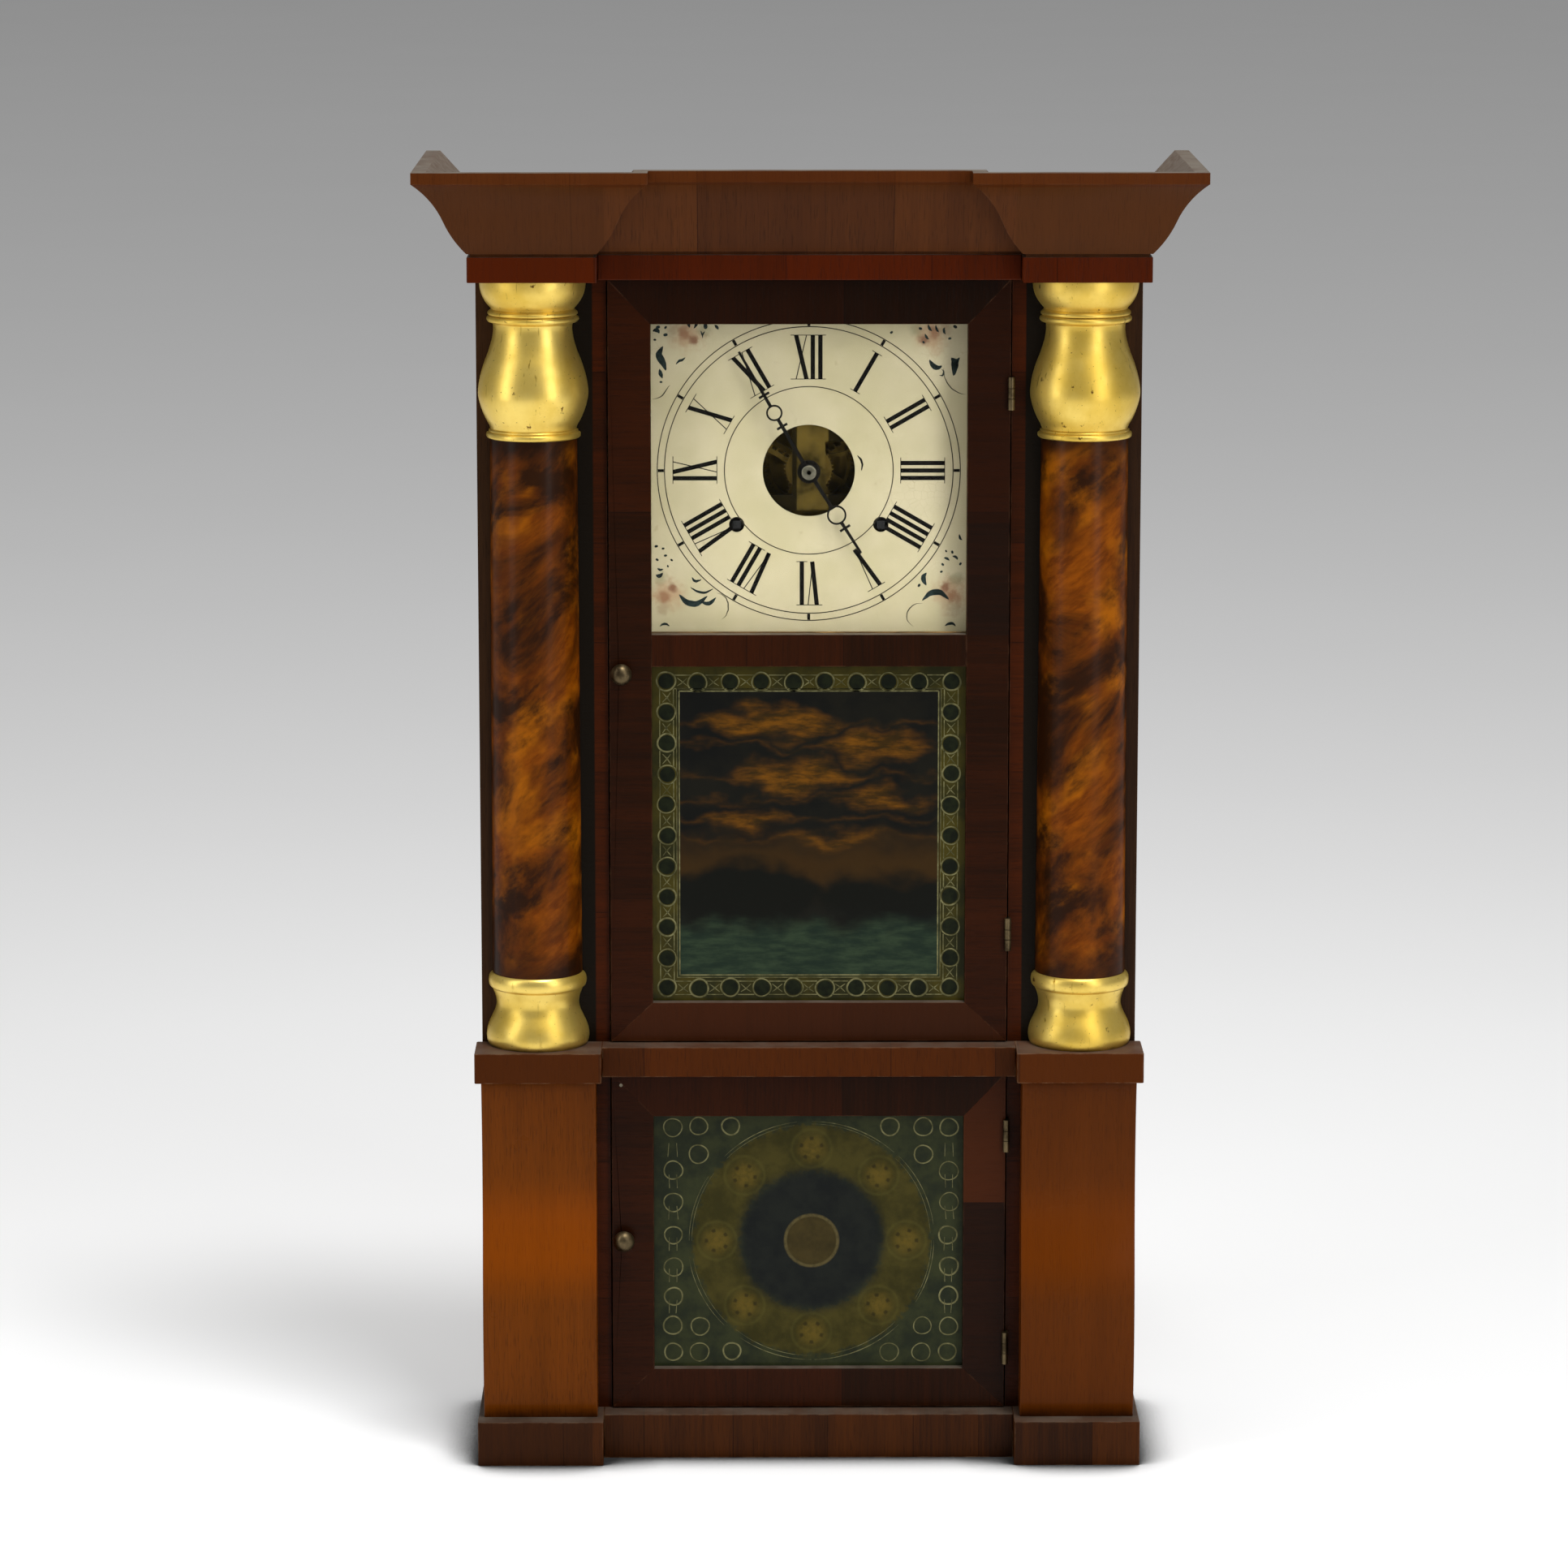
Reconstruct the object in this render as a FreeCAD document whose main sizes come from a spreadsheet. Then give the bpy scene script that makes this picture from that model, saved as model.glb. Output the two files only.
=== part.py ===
import FreeCAD, Part
import math
import os
import re

import Sketcher

# A weight-driven shelf clock in three tiers: a plinth with ogee pedestals and a lower door,
# a middle tier with split columns and a long door, and a flared breakfront cornice.
# Millimetres. X runs to the right, Y from the front to the back, Z up.
# While a piece is drawn, Y = 0 is the front of the plinth blocks; each finished piece is then
# moved so that the clock stands with the middle of its footprint on the origin.

SIZES = {
    # The stack, from the shelf up
    "base_height": 29.0,
    "pedestal_height": 225.0,
    "waist_height": 19.5,
    "foot_height": 47.0,
    "shaft_height": 345.5,
    "capital_height": 101.0,
    "frieze_height": 16.0,
    "cornice_height": 55.0,
    # Plan of the case
    "case_width": 421.0,
    "case_depth": 152.0,
    "block_depth": 36.6,
    "block_overhang": 3.7,
    "bay_margin": 4.8,
    "break_depth": 18.0,
    "opening_width": 256.4,
    # Boards
    "side_thick": 11.0,
    "back_thick": 8.0,
    "top_thick": 12.0,
    "floor_thick": 14.0,
    "floor_drop": 1.0,
    "stile_thick": 12.0,
    "partition_thick": 6.0,
    "catch_room": 10.0,
    "wall_drop": 60.0,
    "stop_thick": 12.4,
    "stop_margin": 2.0,
    # Cornice section
    "cornice_flare": 32.5,
    "cornice_quirk": 2.0,
    "cornice_swell_out": 13.5,
    "cornice_swell_rise": 21.0,
    "cornice_swell_radius": 72.0,
    "cornice_cove_radius": 59.5,
    "cornice_lip": 7.0,
    "cornice_lip_thick": 9.0,
    "cornice_seat": 14.0,
    "cornice_seat_rise": 14.0,
    # Ogee pedestals
    "pedestal_margin": 8.8,
    "pedestal_head": 10.0,
    "pedestal_turn": 13.0,
    "pedestal_tuck": 13.0,
    "pedestal_swell_rise": 112.0,
    "pedestal_cove_radius": 269.0,
    "pedestal_swell_radius": 288.0,
    # Split columns: each turning steps in from half the column's room
    "column_margin": 10.3,
    "shaft_foot_step": 7.2,
    "shaft_head_step": 8.4,
    "foot_torus_step": 4.0,
    "foot_torus_height": 15.0,
    "foot_torus_bulge": 17.4,
    "foot_neck_step": 8.7,
    "foot_neck_rise": 31.0,
    "foot_scoop": 24.0,
    "foot_ring_step": 4.2,
    "foot_ring_height": 8.0,
    "capital_bead_step": 5.0,
    "capital_bead_height": 7.0,
    "vase_foot_step": 5.4,
    "vase_step": 1.1,
    "vase_rise": 27.0,
    "vase_swell": 80.8,
    "vase_shoulder_step": 3.2,
    "vase_shoulder_rise": 15.0,
    "vase_shoulder_curve": 54.6,
    "vase_neck_step": 10.0,
    "vase_neck_rise": 22.0,
    "vase_neck_curve": 120.0,
    "collar_step": 5.5,
    "collar_height": 7.0,
    "collar_gap": 3.0,
    "cup_foot_step": 7.0,
    "cup_lip_step": 2.1,
    "cup_curve": 40.0,
    # Doors
    "door_gap": 0.9,
    "door_clearance": 1.0,
    "door_thick": 16.0,
    "door_proud": 3.6,
    "door_stile_width": 27.0,
    "upper_top_rail": 28.3,
    "upper_middle_rail": 20.5,
    "upper_bottom_rail": 25.2,
    "dial_sight": 198.2,
    "lower_top_rail": 28.4,
    "lower_bottom_rail": 25.6,
    "lip_thick": 7.0,
    "rabbet_width": 6.0,
    "glass_thick": 2.0,
    "pane_gap": 0.4,
    "bead_thick": 5.0,
    # Hinges and turn catches
    "hinge_height": 21.0,
    "hinge_leaf_thick": 1.2,
    "hinge_leaf_depth": 9.0,
    "hinge_knuckle_radius": 2.2,
    "hinge_pin_radius": 1.0,
    "hinge_clearance": 0.4,
    "upper_hinge_low": 70.5,
    "upper_hinge_high": 419.5,
    "lower_hinge_low": 40.0,
    "lower_hinge_high": 182.0,
    "knob_inset": 7.7,
    "knob_radius": 6.8,
    "knob_reach": 12.5,
    "knob_crown": 4.6,
    "knob_rim": 1.2,
    "knob_neck_radius": 3.0,
    "knob_neck": 3.0,
    "knob_collar_radius": 4.8,
    "knob_collar": 1.5,
    "knob_shank_radius": 2.0,
    "upper_knob_rise": 240.5,
    "lower_knob_rise": 113.0,
    "catch_width": 8.0,
    "catch_reach": 15.0,
    "catch_thick": 2.0,
    "running_clearance": 0.06,
    "end_play": 0.24,
    "free_clearance": 0.4,
    # Dial and hands
    "dial_setback": 57.0,
    "dial_thick": 1.0,
    "dial_size": 212.0,
    "dial_drop": 125.3,
    "dial_hole_radius": 29.4,
    "winding_spread": 92.0,
    "winding_drop": 34.7,
    "winding_hole_radius": 4.9,
    "cleat_lap": 7.8,
    "cleat_thick": 12.0,
    "hand_thick": 1.2,
    "minute_hand_lift": 10.5,
    "hour_hand_lift": 6.5,
    "minute_hand_length": 89.0,
    "minute_hand_angle": 330.0,
    "minute_hand_ring": 44.0,
    "minute_hand_low_bar": 34.0,
    "minute_hand_high_bar": 57.0,
    "minute_hand_ring_radius": 5.0,
    "minute_hand_root": 4.4,
    "minute_hand_tip": 1.6,
    "minute_hub_radius": 5.2,
    "hour_hand_length": 62.0,
    "hour_hand_angle": 147.5,
    "hour_hand_ring": 33.0,
    "hour_hand_bar": 43.0,
    "hour_hand_ring_radius": 6.0,
    "hour_hand_root": 5.0,
    "hour_hand_tip": 2.0,
    "hour_hub_radius": 7.5,
    "hand_ring_wall": 1.6,
    "hand_bar_length": 9.0,
    "hand_bar_width": 2.0,
    "hand_nut_radius": 4.4,
    # Movement
    "plate_setback": 3.0,
    "plate_thick": 2.0,
    "plate_spacing": 49.0,
    "plate_width": 136.0,
    "plate_head": 86.0,
    "plate_foot": 62.0,
    "plate_tail_half": 16.0,
    "plate_tail_foot": 90.0,
    "strap_half": 10.5,
    "window_width": 26.0,
    "window_drop": 16.0,
    "right_window_rise": 18.0,
    "left_window_rise": 38.0,
    "low_window_half": 19.0,
    "low_window_top": 26.0,
    "low_window_foot": 52.0,
    "pillar_radius": 3.5,
    "pillar_inset": 7.0,
    "low_pillar_half": 7.0,
    "arbor_radius": 1.5,
    "pivot_radius": 1.0,
    "pivot_reach": 1.6,
    "wheel_thick": 2.0,
    "great_wheel_thick": 3.0,
    "pinion_length": 9.0,
    "spoke_width": 4.0,
    "centre_wheel_radius": 28.0,
    "third_wheel_radius": 22.0,
    "third_angle": 60.0,
    "escape_wheel_radius": 18.0,
    "escape_tooth_height": 3.0,
    "escape_spoke_width": 3.0,
    "verge_rise": 25.4,
    "pallet_clearance": 1.6,
    "pallet_angle": 42.0,
    "anchor_width": 3.0,
    "anchor_hub_radius": 4.0,
    "anchor_thick": 4.0,
    "anchor_arch": 2.4,
    "pin_wheel_radius": 24.0,
    "pin_wheel_angle": 95.0,
    "fly_angle": 70.0,
    "fly_width": 28.0,
    "fly_length": 12.0,
    "fly_thick": 0.8,
    "motion_distance": 19.2,
    "cannon_radius": 2.6,
    "hour_pipe_radius": 3.7,
    "drum_radius": 18.0,
    "drum_flange_radius": 22.0,
    "drum_flange_thick": 1.5,
    "drum_arbor_radius": 4.0,
    "winding_square": 5.0,
    "winding_square_reach": 1.0,
    # Layers of the movement, from the inside of the front plate or of the back plate
    "hour_wheel_layer": 1.2,
    "minute_wheel_layer": 5.6,
    "strike_great_layer": 13.0,
    "escape_layer": 15.0,
    "third_layer": 23.0,
    "drum_front_layer": 17.5,
    "drum_back_layer": 9.5,
    "time_great_layer": 8.0,
    "centre_layer": 16.0,
    "pin_wheel_layer": 22.0,
    "fly_layer": 15.0,
    # Pendulum, strike and weights
    "mount_inset": 50.0,
    "mount_width": 14.0,
    "cock_half": 6.0,
    "cock_height": 8.0,
    "cock_rise": 5.0,
    "cock_reach": 18.0,
    "crutch_offset": 3.0,
    "crutch_drop": 62.0,
    "crutch_width": 2.4,
    "pendulum_offset": 11.0,
    "pendulum_length": 307.0,
    "pendulum_rod_radius": 1.2,
    "pendulum_tail": 44.0,
    "suspension_drop": 14.0,
    "suspension_width": 6.0,
    "bob_radius": 32.0,
    "bob_thick": 13.0,
    "bob_edge": 2.0,
    "rating_nut_radius": 5.0,
    "rating_nut_height": 4.0,
    "hammer_left": 24.0,
    "hammer_drop": 50.0,
    "hammer_length": 66.0,
    "hammer_offset": 20.0,
    "hammer_head_radius": 4.0,
    "hammer_head_length": 10.0,
    "hammer_hub_radius": 4.0,
    "hammer_hub_length": 6.0,
    "hammer_rod_width": 2.2,
    "gong_drop": 150.0,
    "gong_radius": 34.0,
    "gong_pitch": 5.0,
    "gong_wire_radius": 1.3,
    "gong_standoff": 8.0,
    "gong_stand_width": 12.0,
    "gong_stand_height": 20.0,
    "gong_stand_depth": 16.0,
    "gong_stand_lip": 0.5,
    "weight_side": 48.0,
    "weight_clearance": 3.65,
    "weight_height": 165.0,
    "weight_chamfer": 6.0,
    "weight_bail_radius": 8.0,
    "weight_bail_wire": 2.0,
    "weight_setback": 96.0,
    "pulley_radius": 17.0,
    "pulley_groove": 3.0,
    "pulley_thick": 8.0,
    "pulley_drop": 26.0,
    "pulley_pin_radius": 2.5,
    "yoke_thick": 2.0,
    "yoke_width": 16.0,
    "yoke_tail": 7.0,
}

# Teeth of the wheels and leaves of the pinions
GREAT_TEETH = 72
CENTRE_TEETH = 60
THIRD_TEETH = 54
ESCAPE_TEETH = 36
PIN_WHEEL_TEETH = 60
TRAIN_LEAVES = 6
CANNON_LEAVES = 12
MINUTE_TEETH = 36
MINUTE_LEAVES = 10
HOUR_TEETH = 40
GONG_HALF_TURNS = 9

# Points along the gong's wire, and how many diameters along it another turn may begin
GONG_POINTS = 400
TURN_DIAMETERS = 5

# Shares of a tooth's own pitch, and depths in modules
WHEEL_TOOTH_SHARE = 0.36
PINION_TOOTH_SHARE = 0.32
TIP_SHARE = 0.55
ADDENDUM = 0.7
DEDENDUM = 1.0
RIM_MODULES = 3.2
RATCHET_ROOT = (0.3, 0.7)

# How full a turned bead stands: its radius as a share of its height
BEAD_FULLNESS = 0.55

Vector = FreeCAD.Vector
doc = FreeCAD.newDocument("shelf_clock")
sheet = doc.addObject("Spreadsheet::Sheet", "Sizes")
nodes = []


def fill_sheet():
    """Writes the driving dimensions into the spreadsheet, one row each."""
    for row, (alias, value) in enumerate(SIZES.items(), start=1):
        sheet.set(f"A{row}", alias)
        sheet.set(f"B{row}", str(value))
        sheet.setAlias(f"B{row}", alias)
    doc.recompute()


def spell(text):
    """Turns plain size names into references to the sheet's cells."""
    return re.sub(r"[a-z_]+", lambda word: "Sizes." + word[0] if word[0] in SIZES else word[0], text)


def number(text):
    """The present value of an expression of size names."""
    return float(sheet.evalExpression(spell(text)))


def bind(thing, **properties):
    """Ties properties to expressions; x, y and z stand for the placement."""
    places = {"x": "Placement.Base.x", "y": "Placement.Base.y", "z": "Placement.Base.z"}
    for name, text in properties.items():
        thing.setExpression(places.get(name, name), spell(text))
    return thing


def box(name, x, y, z):
    """A board between two expressions along each axis."""
    board = doc.addObject("Part::Box", name)
    bind(board, x=x[0], y=y[0], z=z[0])
    bind(board, Length=f"({x[1]}) - ({x[0]})", Width=f"({y[1]}) - ({y[0]})", Height=f"({z[1]}) - ({z[0]})")
    return board


def rod(name, radius, length, at, along="Y"):
    """A round bar from a point along Y or Z."""
    bar = doc.addObject("Part::Cylinder", name)
    turn = {"X": (Vector(0, 1, 0), 90), "Y": (Vector(1, 0, 0), -90), "Z": (Vector(0, 0, 1), 0)}[along]
    bar.Placement = FreeCAD.Placement(Vector(), FreeCAD.Rotation(*turn))
    bind(bar, Radius=radius, Height=length, x=at[0], y=at[1], z=at[2])
    return bar


def mirrored(piece):
    """The left-hand twin of a right-hand piece."""
    twin = doc.addObject("Part::Mirroring", piece.Name + "_twin")
    twin.Source = piece
    twin.Normal = Vector(1, 0, 0)
    return twin


def cut(name, base, *tools):
    """A piece less its tools."""
    result = doc.addObject("Part::Cut", name)
    result.Base = base
    result.Tool = tools[0] if len(tools) == 1 else joined(name + "_tools", *tools)
    return result


def joined(name, *pieces):
    """Several shapes made into one solid."""
    result = doc.addObject("Part::MultiFuse", name)
    result.Shapes = list(pieces)
    return result


def common(name, one, other):
    """What two shapes share."""
    result = doc.addObject("Part::Common", name)
    result.Base = one
    result.Tool = other
    return result


def node(label, *pieces):
    """A finished sub-part of one or more solids, moved to the clock's own frame."""
    part = doc.addObject("Part::Compound", label)
    part.Links = list(pieces)
    part.Label = label
    bind(part, y="(cornice_flare - case_depth) / 2")
    nodes.append(part)
    return part


def arc_edge(start, end, radius):
    """An arc between two corners: radius above 0 runs anticlockwise, below 0 clockwise."""
    chord = end - start
    middle = (start + end) * 0.5
    left = Vector(-chord.y, chord.x, 0).normalize()
    inset = math.sqrt(max(radius * radius - chord.Length ** 2 / 4, 0))
    centre = middle + left * math.copysign(inset, radius)
    angles = [math.atan2(p.y - centre.y, p.x - centre.x) for p in (start, end)]
    if radius < 0:
        angles.reverse()
    return Part.ArcOfCircle(Part.Circle(centre, Vector(0, 0, 1), abs(radius)), *angles)


def draw(sketch, corners):
    """A closed outline; each corner is (x, y), or (x, y, radius) where an arc starts there."""
    points = [Vector(number(corner[0]), number(corner[1]), 0) for corner in corners]
    first = sketch.GeometryCount
    ends = []
    for index, corner in enumerate(corners):
        start = points[index]
        end = points[(index + 1) % len(points)]
        if len(corner) == 2:
            sketch.addGeometry(Part.LineSegment(start, end))
            ends.append((1, 2))
        else:
            radius = number(corner[2])
            sketch.addGeometry(arc_edge(start, end, radius))
            ends.append((1, 2) if radius > 0 else (2, 1))
    for index, corner in enumerate(corners):
        edge = first + index
        after = (index + 1) % len(corners)
        tie(sketch, "Coincident", edge, ends[index][1], first + after, ends[after][0])
        tie(sketch, "DistanceX", -1, 1, edge, ends[index][0], points[index].x, text=corner[0])
        tie(sketch, "DistanceY", -1, 1, edge, ends[index][0], points[index].y, text=corner[1])
        if len(corner) == 3:
            tie(sketch, "Radius", edge, abs(number(corner[2])), text=f"abs({corner[2]})")


def draw_circle(sketch, x, y, radius):
    """A round hole or disc in a sketch."""
    centre = Vector(number(x), number(y), 0)
    ring = sketch.addGeometry(Part.Circle(centre, Vector(0, 0, 1), number(radius)))
    tie(sketch, "DistanceX", -1, 1, ring, 3, centre.x, text=x)
    tie(sketch, "DistanceY", -1, 1, ring, 3, centre.y, text=y)
    tie(sketch, "Radius", ring, number(radius), text=radius)


def tie(sketch, *constraint, text=None):
    """Adds one constraint, with its value bound to an expression where it has one."""
    index = sketch.addConstraint(Sketcher.Constraint(*constraint))
    if text is not None:
        sketch.setExpression(f"Constraints[{index}]", spell(text))


def new_sketch(name, plane):
    """A body and a sketch on one of its origin planes."""
    body = doc.addObject("PartDesign::Body", name)
    sketch = body.newObject("Sketcher::SketchObject", name + "_sketch")
    support = [feature for feature in body.Origin.OriginFeatures if feature.Role == plane]
    sketch.AttachmentSupport = [(support[0], "")]
    sketch.MapMode = "FlatFace"
    return body, sketch


def pad(name, plane, length, outlines, at, circles=()):
    """Outlines padded along +X from YZ_Plane, +Y from XZ_Plane or +Z from XY_Plane."""
    body, sketch = new_sketch(name, plane)
    for corners in outlines:
        draw(sketch, corners)
    for circle in circles:
        draw_circle(sketch, *circle)
    feature = body.newObject("PartDesign::Pad", name + "_pad")
    feature.Profile = sketch
    feature.Reversed = plane == "XZ_Plane"
    bind(feature, Length=length)
    bind(body, x=at[0], y=at[1], z=at[2])
    return body


def turned(name, plane, corners, at, angle=360):
    """A profile of (radius, height) turned about Z from XZ_Plane, or about Y from XY_Plane."""
    body, sketch = new_sketch(name, plane)
    draw(sketch, corners)
    feature = body.newObject("PartDesign::Revolution", name + "_turn")
    feature.Profile = sketch
    feature.ReferenceAxis = (sketch, ["V_Axis"])
    feature.Angle = angle
    feature.Reversed = angle < 360
    bind(body, x=at[0], y=at[1], z=at[2])
    return body


def dome_radius(half_width, rise):
    """The radius of a round cap whose centre lies on the turning axis."""
    return f"(({half_width}) * ({half_width}) + ({rise}) * ({rise})) / (2 * ({rise}))"


def rectangle(x0, y0, x1, y1):
    """Four corners of an upright rectangle."""
    return [(x0, y0), (x1, y0), (x1, y1), (x0, y1)]


# Levels and planes that several pieces share
WAIST = "base_height + pedestal_height"
COLUMNS = WAIST + " + waist_height"
SHAFTS = COLUMNS + " + foot_height"
CAPITALS = SHAFTS + " + shaft_height"
FRIEZE = CAPITALS + " + capital_height"
CORNICE = FRIEZE + " + frieze_height"
CASE_HALF = "case_width / 2"
INSIDE = "case_width / 2 - side_thick"
BLOCK_HALF = "case_width / 2 + block_overhang"
OPENING_HALF = "opening_width / 2"
BAY_HALF = f"{OPENING_HALF} + bay_margin"
COLUMN_HALF = f"({CASE_HALF} - {OPENING_HALF} - column_margin) / 2"
BACK_INSIDE = "case_depth - back_thick"
STILE_BACK = "block_depth + stile_thick"
FLOOR = "base_height - floor_drop"
CEILING = f"{CORNICE} - top_thick"
DOOR_HALF = "opening_width / 2 - door_gap"
DOOR_FRONT = "block_depth - door_proud"
DOOR_BACK = "block_depth - door_proud + door_thick"
UPPER_FOOT = f"{COLUMNS} + door_clearance"
UPPER_HEAD = f"{FRIEZE} - door_clearance"
LOWER_FOOT = "base_height + door_clearance"
LOWER_HEAD = f"{WAIST} - door_clearance"
DIAL = f"{FRIEZE} - dial_drop"
DIAL_BACK = "dial_setback + dial_thick"
PLATE_FRONT = f"{DIAL_BACK} + plate_setback"
WORKS_FRONT = f"{PLATE_FRONT} + plate_thick"
WORKS_BACK = f"{WORKS_FRONT} + plate_spacing"
PLATE_BACK = f"{WORKS_BACK} + plate_thick"
WALL_INNER = f"{OPENING_HALF} + catch_room"
WALL_OUTER = f"{WALL_INNER} + partition_thick"
CHANNEL = f"({INSIDE} + {WALL_OUTER}) / 2"


def carcass():
    """Backboard, sides, top, floor and front stiles."""
    sides = box("side", (INSIDE, CASE_HALF), ("block_depth", "case_depth"), ("0", CORNICE))
    node("case_sides", sides, mirrored(sides))
    node("backboard", box("back", (f"-({INSIDE})", INSIDE), (BACK_INSIDE, "case_depth"), ("0", CORNICE)))
    stile = box("stile", (OPENING_HALF, INSIDE), ("block_depth", STILE_BACK), ("0", CORNICE))
    mortises = [
        box(f"mortise_{name}", (OPENING_HALF, f"{OPENING_HALF} + hinge_leaf_thick"),
            ("block_depth", "block_depth + hinge_leaf_depth"), (foot, f"{foot} + hinge_height"))
        for name, foot in hinge_places().items()
    ]
    node("front_stiles", cut("stile_right", stile, *mortises), mirrored(stile))
    for label, level, thick in (("bottom_board", f"{FLOOR} - floor_thick", "floor_thick"),
                                ("top_board", CEILING, "top_thick")):
        outline = [
            (f"-({OPENING_HALF})", "block_depth"),
            (OPENING_HALF, "block_depth"),
            (OPENING_HALF, STILE_BACK),
            (INSIDE, STILE_BACK),
            (INSIDE, BACK_INSIDE),
            (f"-({INSIDE})", BACK_INSIDE),
            (f"-({INSIDE})", STILE_BACK),
            (f"-({OPENING_HALF})", STILE_BACK),
        ]
        node(label, pad(label + "_board", "XY_Plane", thick, [outline], ("0", "0", level)))


def breakfront(label, foot, head, extra=()):
    """A course of two end blocks with a set-back rail between them."""
    block = box(label + "_block", (BAY_HALF, BLOCK_HALF), ("0", "block_depth"), (foot, head))
    rail = box(label + "_rail", (f"-({BAY_HALF})", BAY_HALF), ("break_depth", "block_depth"), (foot, head))
    node(label, rail, block, mirrored(block), *extra)


def courses():
    """Plinth, waist and frieze, the three breakfront courses of the case."""
    skirt = box("skirt", (CASE_HALF, BLOCK_HALF), ("block_depth", "case_depth"), ("0", "base_height"))
    breakfront("plinth", "0", "base_height", (skirt, mirrored(skirt)))
    stop = box("stop", (f"-({OPENING_HALF})", OPENING_HALF), ("block_depth", "block_depth + stop_thick"),
               (f"{WAIST} + stop_margin", f"{COLUMNS} - stop_margin"))
    breakfront("waist", WAIST, COLUMNS, (stop,))
    breakfront("frieze", FRIEZE, CORNICE)


def pedestals():
    """The veneered ogee blocks under the columns: hollow above, swelling below."""
    outline = [
        ("pedestal_tuck", "0", "-pedestal_swell_radius"),
        ("pedestal_turn", "pedestal_swell_rise", "pedestal_cove_radius"),
        ("pedestal_head", "pedestal_height"),
        ("block_depth", "pedestal_height"),
        ("block_depth", "0"),
    ]
    inner = f"{OPENING_HALF} + pedestal_margin"
    right = pad("pedestal", "YZ_Plane", f"{CASE_HALF} - ({inner})", [outline], (inner, "0", "base_height"))
    node("pedestals", right, mirrored(right))


def bead(radius, height, foot):
    """A turned half-round ring, as the two corners of its edge."""
    bulge = f"{height} * {BEAD_FULLNESS}"
    edge = f"{radius} - {height} * {bead_depth()}"
    return [(edge, foot, bulge), (edge, f"{foot} + {height}")]


def bead_depth():
    """How far a bead stands out from its edge, as a share of its height."""
    return round(BEAD_FULLNESS - math.sqrt(BEAD_FULLNESS ** 2 - 0.25), 6)


def turning(step):
    """The radius of a turning that steps in from half the column's room."""
    return f"{COLUMN_HALF} - {step}"


def columns():
    """Two split columns, each a turned foot, a tapering shaft and a vase-shaped capital."""
    foot = [
        ("0", "0"),
        (turning("foot_torus_step"), "0", "foot_torus_bulge"),
        (turning("foot_torus_step"), "foot_torus_height", "-foot_scoop"),
        (turning("foot_neck_step"), "foot_neck_rise"),
        (turning("foot_neck_step"), "foot_height - foot_ring_height"),
    ]
    foot += bead(turning("foot_ring_step"), "foot_ring_height", "foot_height - foot_ring_height")
    foot += [("0", "foot_height")]
    shaft = [
        ("0", "0"),
        (turning("shaft_foot_step"), "0"),
        (turning("shaft_head_step"), "shaft_height"),
        ("0", "shaft_height"),
    ]
    widest = "capital_bead_height + vase_rise"
    shoulder = widest + " + vase_shoulder_rise"
    neck = shoulder + " + vase_neck_rise"
    collar = neck + " + collar_gap"
    cup = collar + " + collar_height"
    capital = [("0", "0")]
    capital += bead(turning("capital_bead_step"), "capital_bead_height", "0")
    capital += [
        (turning("vase_foot_step"), "capital_bead_height", "vase_swell"),
        (turning("vase_step"), widest, "vase_shoulder_curve"),
        (turning("vase_shoulder_step"), shoulder, "-vase_neck_curve"),
        (turning("vase_neck_step"), neck),
        (turning("vase_neck_step"), collar),
    ]
    capital += bead(turning("collar_step"), "collar_height", collar)
    capital += [
        (turning("cup_foot_step"), cup, "-cup_curve"),
        (turning("cup_lip_step"), "capital_height"),
        ("0", "capital_height"),
    ]
    for label, profile, level in (("column_feet", foot, COLUMNS), ("column_shafts", shaft, SHAFTS),
                                  ("column_capitals", capital, CAPITALS)):
        at = (f"{CASE_HALF} - ({COLUMN_HALF})", "block_depth", level)
        right = turned(label + "_half", "XZ_Plane", profile, at, angle=180)
        node(label, right, mirrored(right))


def cornice_profile(face, outward):
    """The sprung moulding's section, leaning out from a face along one axis of a sketch."""
    def across(text):
        return f"({face}) + {outward} * ({text})"

    swell = "cornice_quirk + cornice_swell_rise"
    return [
        (across("-cornice_quirk"), "0"),
        (across("-cornice_quirk"), "cornice_quirk"),
        (across("0"), "cornice_quirk", f"{-outward} * -cornice_swell_radius"),
        (across("cornice_swell_out"), swell, f"{-outward} * cornice_cove_radius"),
        (across("cornice_flare"), "cornice_height - cornice_lip"),
        (across("cornice_flare"), "cornice_height"),
        (across("cornice_flare - cornice_lip_thick"), "cornice_height"),
        (across("-cornice_seat"), "cornice_seat_rise"),
        (across("-cornice_seat"), "0"),
    ]


def cornice_piece(name, plane, face, outward, start, length, plan):
    """A run of the moulding cut to its mitres, which stand upright over a plan outline."""
    at = (start, "0", CORNICE) if plane == "YZ_Plane" else ("0", start, CORNICE)
    run = pad(name + "_run", plane, length, [cornice_profile(face, outward)], at)
    mitres = pad(name + "_mitres", "XY_Plane", "cornice_height", [plan], ("0", "0", CORNICE))
    return common(name + "_piece", run, mitres)


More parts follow.
